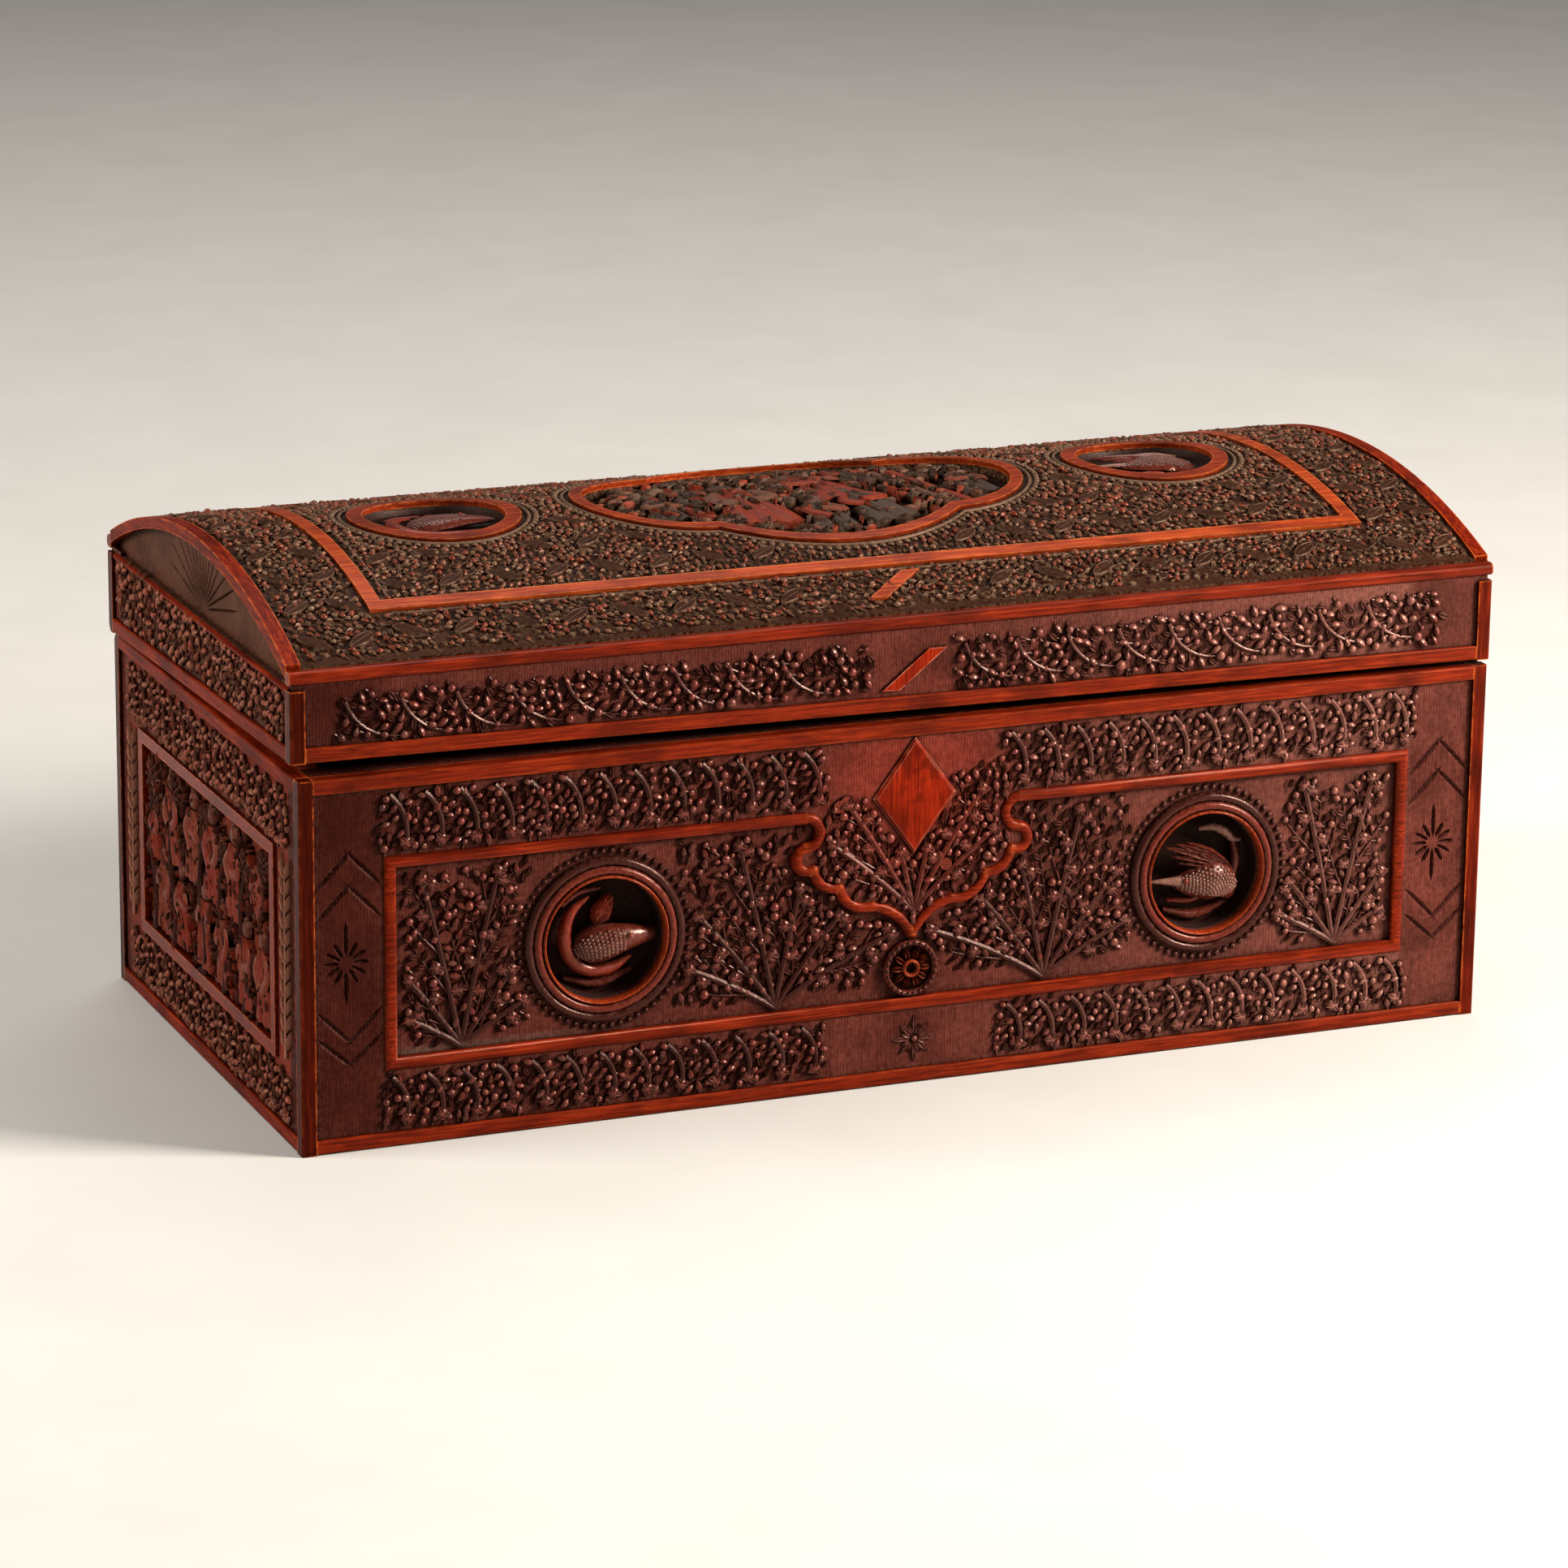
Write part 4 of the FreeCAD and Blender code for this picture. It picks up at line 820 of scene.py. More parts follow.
def front_zones(tree, place, tone, colour):
    # Painted shade at the left end, painted light on the carving towards the right, dusty low at the left and
    # redder round the diamond
    parts = put(tree, "ShaderNodeSeparateXYZ", {0: place}).outputs
    x, z = parts["X"], parts["Z"]
    # Painted shade: the left end darker
    colour = mix(tree, spread(tree, x, *dark_end_x, 0.0, 0.6), colour, DIRT_AND_SHADE)
    # Painted light: the raised carving paler towards the right, more so on the bands
    raised = spread(tree, tone, 0.2, 0.3, 0.45, 1.0)
    carved = spread(tree, x, *plain_end_x, 1.0, 0.15)
    rightwards = times(tree, times(tree, spread(tree, x, *paler_x, 0.0, 0.38), raised), carved)
    colour = mix(tree, rightwards, colour, PAINTED_LIGHT_TINT)
    middle = put(tree, "ShaderNodeMath", {0: z, 1: panel_middle}, operation="SUBTRACT").outputs[0]
    away = put(tree, "ShaderNodeMath", {0: middle}, operation="ABSOLUTE").outputs[0]
    on_bands = times(tree, rightwards, spread(tree, away, panel_reach, panel_reach + 1.0, 0.0, 1.0))
    colour = mix(tree, on_bands, colour, PAINTED_LIGHT_TINT)
    low_edge = spread(tree, z, dust_low, dust_low + 2.2, 1.0, 0.0)
    above = spread(tree, z, dust_low - 0.4, dust_low, 0.0, 1.0)
    inside = spread(tree, x, *dust_edge_x, 0.0, 1.0)
    leftwards = times(tree, spread(tree, x, *dusty_x, 0.7, 0.0), inside)
    colour = mix(tree, times(tree, times(tree, low_edge, above), leftwards), colour, GREY_DUST)
    diamond = (0.0, front_y, diamond_z)
    near = put(tree, "ShaderNodeVectorMath", {0: place, 1: diamond}, operation="DISTANCE")
    return mix(tree, spread(tree, near.outputs["Value"], *reddened, 0.45, 0.0), colour, WARM_RED)


def plain_wood(name, axis, dark, light):
    # Unpolished inside and underside
    material, tree, shader = new_material(name)
    grain_place = millimetres(tree, GRAIN_ALONG[axis])
    grain = noise(tree, grain_place, 0.7, 6.0, 0.65, 0.8)
    pores = noise(tree, grain_place, 5.0, 2.0)
    blotch = noise(tree, millimetres(tree), 0.02, 4.0)
    colour = ramp(tree, grain, ((0.3, dark), (0.7, light)))
    colour = mix(tree, spread(tree, blotch, 0.4, 0.7, 0.0, 0.5), colour, dark)
    colour = mix(tree, spread(tree, pores, 0.55, 0.75, 0.0, 0.6), colour, tuple(0.5 * c for c in dark))
    paint(tree, shader, colour, spread(tree, grain, 0.2, 0.8, 0.65, 0.5), bump(tree, pores, 0.2, 0.2))
    return material


def aged_brass(name):
    material, tree, shader = new_material(name)
    place = millimetres(tree)
    tarnish = noise(tree, place, 0.4, 5.0)
    scratch = noise(tree, millimetres(tree, (0.15, 1.0, 1.0)), 3.0, 3.0)
    colour = ramp(tree, tarnish, ((0.35, (0.10, 0.06, 0.025)), (0.65, (0.42, 0.28, 0.10))))
    paint(tree, shader, colour, spread(tree, tarnish, 0.3, 0.7, 0.6, 0.3), bump(tree, scratch, 0.15, 0.1))
    shader.inputs["Metallic"].default_value = 1.0
    return material


STRIP_COLOURS = dict(dark=(0.034, 0.0022, 0.0009), mid=(0.125, 0.0085, 0.002), light=(0.25, 0.024, 0.004),
                     worn_and_lit=(0.66, 0.14, 0.025), wear_and_highlight=0.9)
strip_wood = {axis: polished_wood("strip_wood_" + axis, axis, **STRIP_COLOURS, gloss=gloss)
              for axis, gloss in (("x", 0.16), ("y", 0.02))}
# Corner strips: the left ones take a darker copy of the colours, painted shade
corner_wood = {
    "right": polished_wood("corner_wood_right", "z", (0.022, 0.0014, 0.0006), (0.085, 0.0055, 0.0015),
                           (0.17, 0.015, 0.0025), (0.66, 0.13, 0.022), wear_and_highlight=1.0, gloss=0.08),
    "left": polished_wood("corner_wood_left_shaded", "z", (0.012, 0.0008, 0.0004), (0.034, 0.0022, 0.0008),
                          (0.075, 0.006, 0.0013), (0.60, 0.11, 0.02), wear_and_highlight=1.0, gloss=0.08),
}
rim_wood = polished_wood("rim_wood", "x", (0.06, 0.005, 0.0015), (0.18, 0.018, 0.004),
                         (0.33, 0.048, 0.009), (0.68, 0.2, 0.05), 0.26, gloss=0.08)
frame_wood = polished_wood("frame_wood", "x", (0.08, 0.007, 0.002), (0.26, 0.032, 0.006),
                           (0.44, 0.075, 0.012), (0.70, 0.24, 0.07), 0.26, gloss=0.05)
plaque_wood = polished_wood("plaque_wood", "z", (0.055, 0.003, 0.001), (0.18, 0.009, 0.002),
                            (0.28, 0.020, 0.003), (0.65, 0.28, 0.18), 0.24, mottle=0.7, gloss=0.08)
CARVED_COLOURS = dict(ground=(0.070, 0.0165, 0.0115), leaf_colour=(0.095, 0.022, 0.0155),
                      stem_colour=(0.125, 0.038, 0.028), berry_colour=(0.145, 0.023, 0.016), roughness=0.32,
                      hollow=(0.42, 0.92), gloss=0.4)
carved_front = carved_wood("carved_wood_front", "x", **CARVED_COLOURS, zones=front_zones)
carved_back = carved_wood("carved_wood_back", "x", **CARVED_COLOURS)
# The ends take a lighter copy of the carved colours: painted light on the ends
carved_end = carved_wood("carved_wood_end", "y", ground=(0.13, 0.022, 0.012),
                         leaf_colour=(0.20, 0.052, 0.028), stem_colour=(0.32, 0.12, 0.072),
                         berry_colour=(0.29, 0.066, 0.036), roughness=0.42, hollow=(0.42, 0.92), gloss=0.28,
                         sheen=TAN_SHEEN)
dome_wood = carved_wood("dome_wood", "x", ground=(0.024, 0.009, 0.0045), leaf_colour=(0.125, 0.070, 0.040),
                        stem_colour=(0.15, 0.086, 0.050), berry_colour=(0.17, 0.026, 0.012),
                        dust=(0.22, 0.14, 0.085), dust_share=0.6, gloss=0.3, sheen=TAN_SHEEN)
gable_wood = carved_wood("gable_wood", "y", ground=(0.060, 0.022, 0.012), leaf_colour=(0.07, 0.03, 0.018),
                         stem_colour=(0.12, 0.06, 0.04), berry_colour=(0.10, 0.04, 0.025),
                         dust=(0.2, 0.13, 0.09), gloss=0.25, sheen=TAN_SHEEN)
# Its pale stem colour is a painted highlight on the crested bird's beak and plume
figure_wood = carved_wood("figure_wood", "x", ground=(0.04, 0.007, 0.004), leaf_colour=(0.085, 0.013, 0.007),
                          stem_colour=(0.18, 0.082, 0.060), berry_colour=(0.15, 0.015, 0.006),
                          roughness=0.28, gloss=0.4)
panel_wood = carved_wood("panel_wood", "y", ground=(0.03, 0.005, 0.003), leaf_colour=(0.070, 0.016, 0.009),
                         stem_colour=(0.15, 0.030, 0.014), berry_colour=(0.17, 0.014, 0.005),
                         roughness=0.42, gloss=0.16, sheen=TAN_SHEEN)
# Its near black ground colours the cartouche floor as painted shade
scene_wood = carved_wood("scene_wood", "x", ground=(0.006, 0.003, 0.002), leaf_colour=(0.046, 0.030, 0.020),
                         stem_colour=(0.11, 0.046, 0.028), berry_colour=(0.19, 0.022, 0.008),
                         dust=(0.22, 0.15, 0.10), dust_share=0.3, roughness=0.5, gloss=0.14, sheen=TAN_SHEEN)
ring_wood = carved_wood("ring_wood", "x", ground=(0.05, 0.009, 0.006), leaf_colour=(0.032, 0.006, 0.004),
                        stem_colour=(0.12, 0.015, 0.008), berry_colour=(0.26, 0.030, 0.006),
                        dust=(0.22, 0.12, 0.09), roughness=0.28, gloss=0.22)
# Near black lining of the holes: painted shade
hole_shade = carved_wood("hole_shade", "x", ground=(0.003, 0.001, 0.0008), leaf_colour=(0.004, 0.0015, 0.001),
                        stem_colour=(0.02, 0.008, 0.006), berry_colour=(0.02, 0.006, 0.004),
                        dust=(0.03, 0.02, 0.015), dust_share=0.2, roughness=0.6)
inside_wood = plain_wood("plain_wood_x", "x", (0.10, 0.045, 0.022), (0.24, 0.115, 0.055))
brass = aged_brass("hinge_brass")


def dress(node, material):
    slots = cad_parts[node].data.materials
    slots.clear()
    slots.append(material)


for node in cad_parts:
    if node.startswith("hinge_"):
        dress(node, brass)
    elif node.startswith("base_bottom"):
        dress(node, inside_wood)
    elif node in ("base_back_board", "lid_back_board"):
        dress(node, carved_back)
    elif "board" in node:
        dress(node, carved_end if "left" in node or "right" in node else carved_front)
    elif node == "dome_panel":
        dress(node, dome_wood)
    elif "corner_strip" in node:
        dress(node, corner_wood["left" if "left" in node else "right"])
    elif "rail" in node or "bead" in node or "arch" in node:
        side = "left" in node or "right" in node
        dress(node, strip_wood["y" if side else "x"])
    elif node == "cartouche_rim" or node.startswith("dome") and "ring" in node:
        dress(node, rim_wood)
    elif node in ("dome_frame", "dome_lozenge"):
        dress(node, frame_wood)
    elif node in ("diamond_plaque", "lid_front_lozenge"):
        dress(node, plaque_wood)
    elif "bird" in node or "scene" in node:
        dress(node, figure_wood)
    else:
        dress(node, strip_wood["x"])


# Front of the base: moulding with its scalloped bracket

top_line = panel_top - moulding_width / 2
hook_x = 28.9
hook_radius = 3.9
bracket_width = 2.9
bracket_drop = 32.8
bracket_stations = ((28.9, 0.238), (26.7, 0.405), (19.7, 0.576), (10.7, 0.75), (0.0, 1.0))
bracket_bulges = (3.5, 1.9, 2.2, -1.6)
bracket_points = [(x, top_line - share * bracket_drop) for x, share in bracket_stations]


def bulged_arc(start, end, bulge):
    # Arc between two points that bulges to the right of the way from one to the other
    dx, dz = end[0] - start[0], end[1] - start[1]
    length = math.hypot(dx, dz)
    middle = ((start[0] + end[0]) / 2 - bulge * dz / length, (start[1] + end[1]) / 2 + bulge * dx / length)
    return arc_through(start, middle, end, 10)


hook = arc_through((hook_x, top_line), (hook_x - hook_radius, top_line - hook_radius), bracket_points[0], 14)
bracket_arcs = [hook]
for start, end, bulge in zip(bracket_points, bracket_points[1:], bracket_bulges):
    bracket_arcs.append(bulged_arc(start, end, bulge))
bracket_line = np.vstack([arc * (mirror, 1) for arc in bracket_arcs for mirror in (1, -1)])


def front_moulding():
    carving = Carving(field_face)
    half = moulding_width / 2
    side = panel_half - half
    low = panel_bottom + half
    right = [(hook_x, top_line), (side, top_line), (side, low)]
    left = [(-x, z) for x, z in reversed(right)]
    sweep(carving, right + left, half_round(half, moulding_height, foot=1.1), STEM_TONE)
    bracket_profile = half_round(bracket_width / 2, moulding_height, foot=0.9)
    for mirror in (1, -1):
        for arc in bracket_arcs:
            sweep(carving, arc * (mirror, 1), bracket_profile, STEM_TONE)
            end = arc[-1] * (mirror, 1)
            berry(carving, *end, 0.52 * bracket_width, moulding_height, STEM_TONE, sides=16)
    piece = carving.build("front_moulding_carved", "base", strip_wood["x"], moulding_height)
    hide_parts("front_panel_moulding")


# Front of the base: foliage

roundel_x = (ring_low[0] + ring_high[0]) / 2
roundel_z = (ring_low[2] + ring_high[2]) / 2
roundel_radius = (ring_high[0] - ring_low[0]) / 2
boss_z = (boss_low[2] + boss_high[2]) / 2
boss_radius = (boss_high[0] - boss_low[0]) / 2
main_gap = 3.2
bracket_heights = [z for x, z in reversed(bracket_points)] + [top_line, panel_top + 8]
bracket_reaches = [x for x, z in reversed(bracket_points)] + [hook_x - hook_radius] * 2


def bracket_half(z):
    # Half width of the tongue inside the bracket
    return np.interp(z, bracket_heights, bracket_reaches)


def clear_of_bracket(x, z, gap):
    return np.min(np.hypot(bracket_line[:, 0] - x, bracket_line[:, 1] - z)) > gap + 0.25


def in_field(x, z, gap=2.0):
    # Open part of the sunk panel, clear of the moulding, the roundels, the boss and the bracket
    if abs(x) > panel_half - moulding_width - gap or not panel_bottom + moulding_width + 0.6 < z:
        return False
    if z > panel_top - moulding_width - gap:
        return False
    if math.hypot(abs(x) - roundel_x, z - roundel_z) < roundel_radius + main_gap:
        return False
    if math.hypot(x, z - boss_z) < boss_radius + gap:
        return False
    outside = z < bracket_points[-1][1] or abs(x) > bracket_half(z)
    return outside and clear_of_bracket(x, z, gap)


def in_tongue(x, z, gap=2.0):
    # Ground inside the bracket, round the lower half of the diamond
    if z > diamond_z + 2.5 + 0.18 * x or z < bracket_points[-1][1] + 2 or abs(x) > bracket_half(z):
        return False
    if abs(x) / (diamond_half_width + gap) + abs(z - diamond_z) / (diamond_half_height + gap) < 1:
        return False
    return clear_of_bracket(x, z, gap)


def main_field(x, z):
    return in_field(x, z, main_gap)


def main_tongue(x, z):
    return z < diamond_z and in_tongue(x, z, main_gap)


# Bands of twigs, and the buds of a twig: step along it, heading and distance
twig_bulge = 1.6
front_twigs = 13
end_twigs = 15
front_band_end = 139.5
front_band_start = 23.5
band_gap = 1.5
top_band = (panel_top + band_gap, base_high[2] - strip_size - band_gap)
bottom_band = (strip_size + band_gap, panel_bottom - band_gap)
band_buds = ((1, 160, 2.3), (2, 20, 2.5), (3, 205, 2.4), (4, -10, 2.4), (5, 215, 2.3), (0, 60, 1.6))


def band_of_twigs(foliage, low, high, count):
    # Twigs that hang side by side, each with a large berry at its foot and buds over it
    pitch = (high[0] - low[0]) / count
    lean = 0.15 * (high[1] - low[1])
    middle = (low[1] + high[1]) / 2 + twig_bulge
    for step in range(count):
        u = low[0] + (step + 0.5) * pitch
        path = arc_through((u - lean, high[1]), (u + twig_bulge, middle), (u + lean, low[1] + twig_bulge), 7)
        stem(foliage.carving, path, 1.5, 1.5, DARK_STEM_TONE)
        # Painted shadows beside the stem
        for place in (2, 5):
            painted_shadow(foliage.carving, path[place][0] - 1.3, path[place][1], 105 - 8 * place, 5.0, 1.5, 0.2)
        foliage.blossom(*path[-1], 0.85)
        for place, way, out in band_buds:
            heading = way + foliage.random.uniform(-15, 15)
            tip = path[place] + out * direction(heading)
            if foliage.inside(*tip) and foliage.crowd.free(*tip, 2.2):
                stalk(foliage.carving, path[place], tip, 0.6, 0.5)
                foliage.berry_or_bud(*tip, heading)
    foliage.fill(low, high, 60)


def in_box(low, high):
    return lambda u, v: low[0] < u < high[0] and low[1] < v < high[1]


# Headings of the main stems in the bracket's tongue and in the sprays of the sunk panel
tongue_headings = (46, 62, 78, 102, 118, 134)
spray_headings = (34, 56, 79, 101, 124, 146)


def front_bands():
    carving = Carving(front_face)
    halves = ((-front_band_end, -front_band_start), (front_band_start, front_band_end))
    for seed, (low_z, high_z) in enumerate((top_band, bottom_band)):
        for mirror, (start, end) in enumerate(halves):
            low, high = (start, low_z), (end, high_z)
            foliage = Foliage(carving, 10 + 2 * seed + mirror, in_box(low, high), 1.15, 1.9)
            band_of_twigs(foliage, low, high, front_twigs)
    star(carving, 1.0, (bottom_band[0] + bottom_band[1]) / 2, 6.2, 5.4, 1.8, STAR_TONE)
    tongue = Foliage(carving, 21, in_tongue, 1.2, 2.0)
    root = (0, bracket_points[-1][1] + 6.2)
    stem(carving, walk((0, root[1] - 3.4), 90, 0, 4.0, 4), 1.2, 1.6, LEAF_TONE)
    for heading in tongue_headings:
        tongue.main_stem(root, heading, main_tongue)
    tongue.fill((-26, root[1] - 2), (26, diamond_z + 8), 90, 0.25)
    carving.build("front_band_foliage", "base", carved_front)


outer_spray_x = (panel_half - moulding_width + roundel_x + roundel_radius) / 2
inner_spray_x = 0.55 * (roundel_x - roundel_radius) + 0.45 * boss_radius


def front_sprays():
    carving = Carving(field_face)
    for seed, root_x in enumerate((-outer_spray_x, -inner_spray_x, inner_spray_x, outer_spray_x)):
        foliage = Foliage(carving, 31 + seed, in_field, 1.15, 2.0)
        root = (root_x, panel_bottom + moulding_width + 1.2)
        for heading in spray_headings:
            foliage.main_stem(root, heading, main_field)
        reach = 25 if abs(root_x) < roundel_x else 17
        low, high = (root_x - reach, root[1] + 4), (root_x + reach, top_line - 3)
        foliage.fill(low, high, 90, tries_each=0.9 if abs(root_x) > roundel_x else 1.6)
    for x in (-roundel_x, roundel_x):
        pearls(carving, circle((x, roundel_z), roundel_radius + 1.4, 72), 2.4, 0.8, DARK_STEM_TONE)
    carving.build("front_panel_foliage", "base", carved_front)


# Chip-carved grooves


# A groove's width at stations along it, and how far its cutter stands above the face
groove_stations = ((0.0, 0.12), (0.2, 0.9), (0.5, 1.0), (0.8, 0.9), (1.0, 0.12))
groove_lip = 0.15


def groove(cutter, start, end, width, depth):
    # V-shaped cut between two points, narrower at its ends
    start, end = np.array(start, float), np.array(end, float)
    normal = np.array((start[1] - end[1], end[0] - start[0])) / math.dist(start, end)
    rows = []
    for share, size in groove_stations:
        point = start + (end - start) * share
        half = width * size / 2
        near, far = point - normal * half, point + normal * half
        rows.append([(*near, groove_lip), (*far, groove_lip), (*point, -depth * size)])
    cutter.add_grid(np.array(rows), 0.0)


def chip_star(cutter, u, v, rays, width, start, upright, aslant):
    # Rays cut round a point, longer where they are upright
    for step in range(rays):
        heading = 2 * math.pi * step / rays
        way = np.array((math.cos(heading), math.sin(heading)))
        length = upright if abs(way[0]) < 0.01 else aslant
        groove(cutter, (u, v) + start * way, (u, v) + length * way, width, 0.85)


def cut_copy(node, cutter, name, body, material):
    # Copy of a board with grooves cut in it, which takes the board's place
    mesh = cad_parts[node].data.copy()
    work = bmesh.new()
    work.from_mesh(mesh)
    bmesh.ops.remove_doubles(work, verts=work.verts, dist=0.002 * MM)
    work.to_mesh(mesh)
    work.free()
    tool_mesh = bpy.data.meshes.new(name + "_cutter")
    tool_mesh.from_pydata((cutter.place(np.vstack(cutter.points)) * MM).tolist(), [], cutter.faces)
    turn_outwards(tool_mesh)
    tool = bpy.data.objects.new(name + "_cutter", tool_mesh)
    board = bpy.data.objects.new(name + "_blank", mesh)
    for item in (tool, board):
        bpy.context.scene.collection.objects.link(item)
    cut = board.modifiers.new("cut", "BOOLEAN")
    cut.operation = "DIFFERENCE"
    cut.solver = "EXACT"
    cut.use_self = True
    cut.object = tool
    bpy.context.view_layer.update()
    result = bpy.data.meshes.new_from_object(board.evaluated_get(bpy.context.evaluated_depsgraph_get()))
    for item in (tool, board):
        bpy.data.objects.remove(item)
    piece = finish_piece(name, result, body, material, 0.0)
    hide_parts(node)


# Plain ends of the front with a star each; a chevron is its apex, reach and drop
pilaster_x = 147.4
pilaster_star_z = 47.6
chevrons = ((74.9, 8.5, 8.7), (66.8, 8.5, 8.5), (27.7, 8.5, -8.4), (21.9, 8.5, -7.4))
chevron_cross = 0.12


def front_grooves():
    cutter = Carving(front_face)
    for x in (-pilaster_x, pilaster_x):
        for apex, reach, drop in chevrons:
            for side in (-1, 1):
                start = (x - side * chevron_cross * reach, apex + chevron_cross * drop)
                groove(cutter, start, (x + side * reach, apex - drop), 2.0, 0.75)
        chip_star(cutter, x - 0.8, pilaster_star_z, 12, 1.6, 1.5, 10.5, 6.0)
    cut_copy("base_front_board", cutter, "front_board_carved", "base", carved_front)


# Dome

frame_inner_x = dome_frame_high[0] - strip_size
frame_inner_arc = arc_of(dome_frame_high[1] - lid_mid - strip_size)
frame_outer_arc = arc_of(dome_frame_high[1] - lid_mid)
arch_inner_x = -arch_high[0]
bead_low_y = back_bead_low[1]
bead_arc = arc_of(bead_low_y - lid_mid)
lozenge_half = dome_lozenge_high[0]
dome_roundel_x = (dome_ring_low[0] + dome_ring_high[0]) / 2
dome_roundel_radius = (dome_ring_high[0] - dome_ring_low[0]) / 2
cartouche_side_x = 32.3
cartouche_side_radius = 28.4
cartouche_middle_radius = 47.4
cartouche_half_depth = 41.7
cartouche_rim_width = 3.2
lobe_steps = 24
ridge_gap = 1.8
pearl_gap = 3.6
frame_line_gap = 2.6


def cartouche_outline(grown):
    # Outline of two side lobes joined by a shallow arc at front and back
    side_radius = cartouche_side_radius + grown
    middle_radius = cartouche_middle_radius + grown
    offset = cartouche_middle_radius - cartouche_half_depth
    gap = math.hypot(cartouche_side_x, offset)
    along = (gap ** 2 + middle_radius ** 2 - side_radius ** 2) / (2 * gap)
    across = math.sqrt(middle_radius ** 2 - along ** 2)
    way = np.array((cartouche_side_x, offset)) / gap
    meet = np.array((0, -offset)) + along * way + across * np.array((-way[1], way[0]))
    crown = arc_through((-meet[0], meet[1]), (0, cartouche_half_depth + grown), meet, lobe_steps)
    lobe = arc_through(meet, (cartouche_side_x + side_radius, 0), (meet[0], -meet[1]), lobe_steps)
    half = np.vstack((crown[:-1], lobe[:-1]))
    outline = np.vstack((half, -half))
    outline[:, 1] = ground_radius * np.arcsin(outline[:, 1] / ground_radius)
    return outline


def in_cartouche(u, v, grown):
    y = ground_radius * math.sin(v / ground_radius)
    offset = cartouche_middle_radius - cartouche_half_depth
    if math.hypot(abs(u) - cartouche_side_x, y) < cartouche_side_radius + grown:
        return True
    return math.hypot(u, abs(y) + offset) < cartouche_middle_radius + grown


def bare(u, v):
    # Patches of ground left without leaves
    waves = math.sin(0.31 * u + 1.3 * math.sin(0.17 * v)) + math.sin(0.43 * v + 0.9 * math.sin(0.23 * u))
    return waves > 1.62


def in_dome_field(u, v):
    if abs(u) > frame_inner_x - 1.6 or abs(v) > frame_inner_arc - 1.6 or bare(u, v):
        return False
    if math.hypot(abs(u) - dome_roundel_x, v) < dome_roundel_radius + pearl_gap + 1.6:
        return False
    return not in_cartouche(u, v, pearl_gap + 1.6)


def in_dome_border(u, v):
    if abs(u) > arch_inner_x - 1.8 or abs(v) > bead_arc - 2.5 or bare(u, v):
        return False
    return abs(u) > dome_frame_high[0] + 1.5 or abs(v) > frame_outer_arc + 1.6


leaf_pitch = 14.0
leaf_length = 9.0
leaf_width = 3.2
leaf_heading = 35.0
leaf_gap = 8.0
frame_depth = dome_frame_high[1] - lid_mid
inner_depth = frame_depth - strip_size
border_depth = bead_low_y - lid_mid
frame_x = dome_frame_high[0]


def leaf_places(low, high):
    # Even rows of main leaves over a part of the dome, turned left and right by turns, in x and level depth
    columns = max(1, round((high[0] - low[0]) / leaf_pitch))
    rows = max(1, round((high[1] - low[1]) / leaf_pitch))
    for column in range(columns):
        x = low[0] + (column + 0.5) * (high[0] - low[0]) / columns
        for row in range(rows):
            y = low[1] + (row + 0.5) * (high[1] - low[1]) / rows
            near_roundel = math.hypot(abs(x) - dome_roundel_x, y) < dome_roundel_radius + leaf_gap
            near_lozenge = y < -frame_depth and abs(x) < lozenge_half + leaf_gap
            if not (near_roundel or near_lozenge or in_cartouche(x, arc_of(y), leaf_gap)):
                yield x, arc_of(y), leaf_heading if (column + row) % 2 else 180 - leaf_heading


main_leaves = list(leaf_places((-frame_inner_x, -inner_depth), (frame_inner_x, inner_depth)))
for sign in (-1, 1):
    for low, high in (((frame_x, -border_depth), (arch_inner_x, border_depth)),
                      ((-frame_x, frame_depth), (frame_x, border_depth))):
        corners = np.array((low, high)) * ((sign, 1) if low[0] > 0 else (1, sign))
        main_leaves += leaf_places(corners.min(axis=0), corners.max(axis=0))


def main_leaf(foliage, u, v, heading):
    # Raised rim and midrib over a leaf of the solid, whose dark ground shows between them
    way = direction(heading)
    aside = np.array((-way[1], way[0])) * leaf_width / 2
    foot, tip = (u, v) - way * leaf_length / 2, (u, v) + way * leaf_length / 2
    for side in (-1, 1):
        edge = arc_through(foot, (u, v) + side * aside, tip, 10)
        sweep(foliage.carving, edge, half_round(0.36, 1.0), LEAF_RIM_TONE)
    sweep(foliage.carving, [foot, tip], half_round(0.26, 1.0), DARK_STEM_TONE)
    for share in (-0.35, 0.0, 0.35):
        foliage.crowd.add(u + share * leaf_length * way[0], v + share * leaf_length * way[1])


def dome_foliage(name, seed, low, high, inside, heading, pitch):
    carving = Carving(dome_face)
    part = in_box(low, high)
    foliage = Foliage(carving, seed, lambda u, v: part(u, v) and inside(u, v), 0.9, 1.65)
    for place in main_leaves:
        if part(*place[:2]):
            main_leaf(foliage, *place)
    foliage.rows(low, high, pitch, heading, 10.0, 0.8)
    foliage.fill(low, high, heading, 0.5)
    carving.build(name, "lid", dome_wood, 1.3)


# Parts of the dome: seed, limits along its arc and the sign of the twigs' headings
dome_fields = (("front", 50, -frame_inner_arc, 0, 1), ("back", 60, 0, frame_inner_arc, -1))
dome_borders = (("front", 70, -bead_arc, -frame_outer_arc, 1), ("back", 80, frame_outer_arc, bead_arc, -1))
field_headings = (40, 90, 140)
border_headings = (150, 30)
dome_end_headings = (60, 120)
field_pitch = (7.5, 7.0)
border_pitch = (8.0, 8.0)


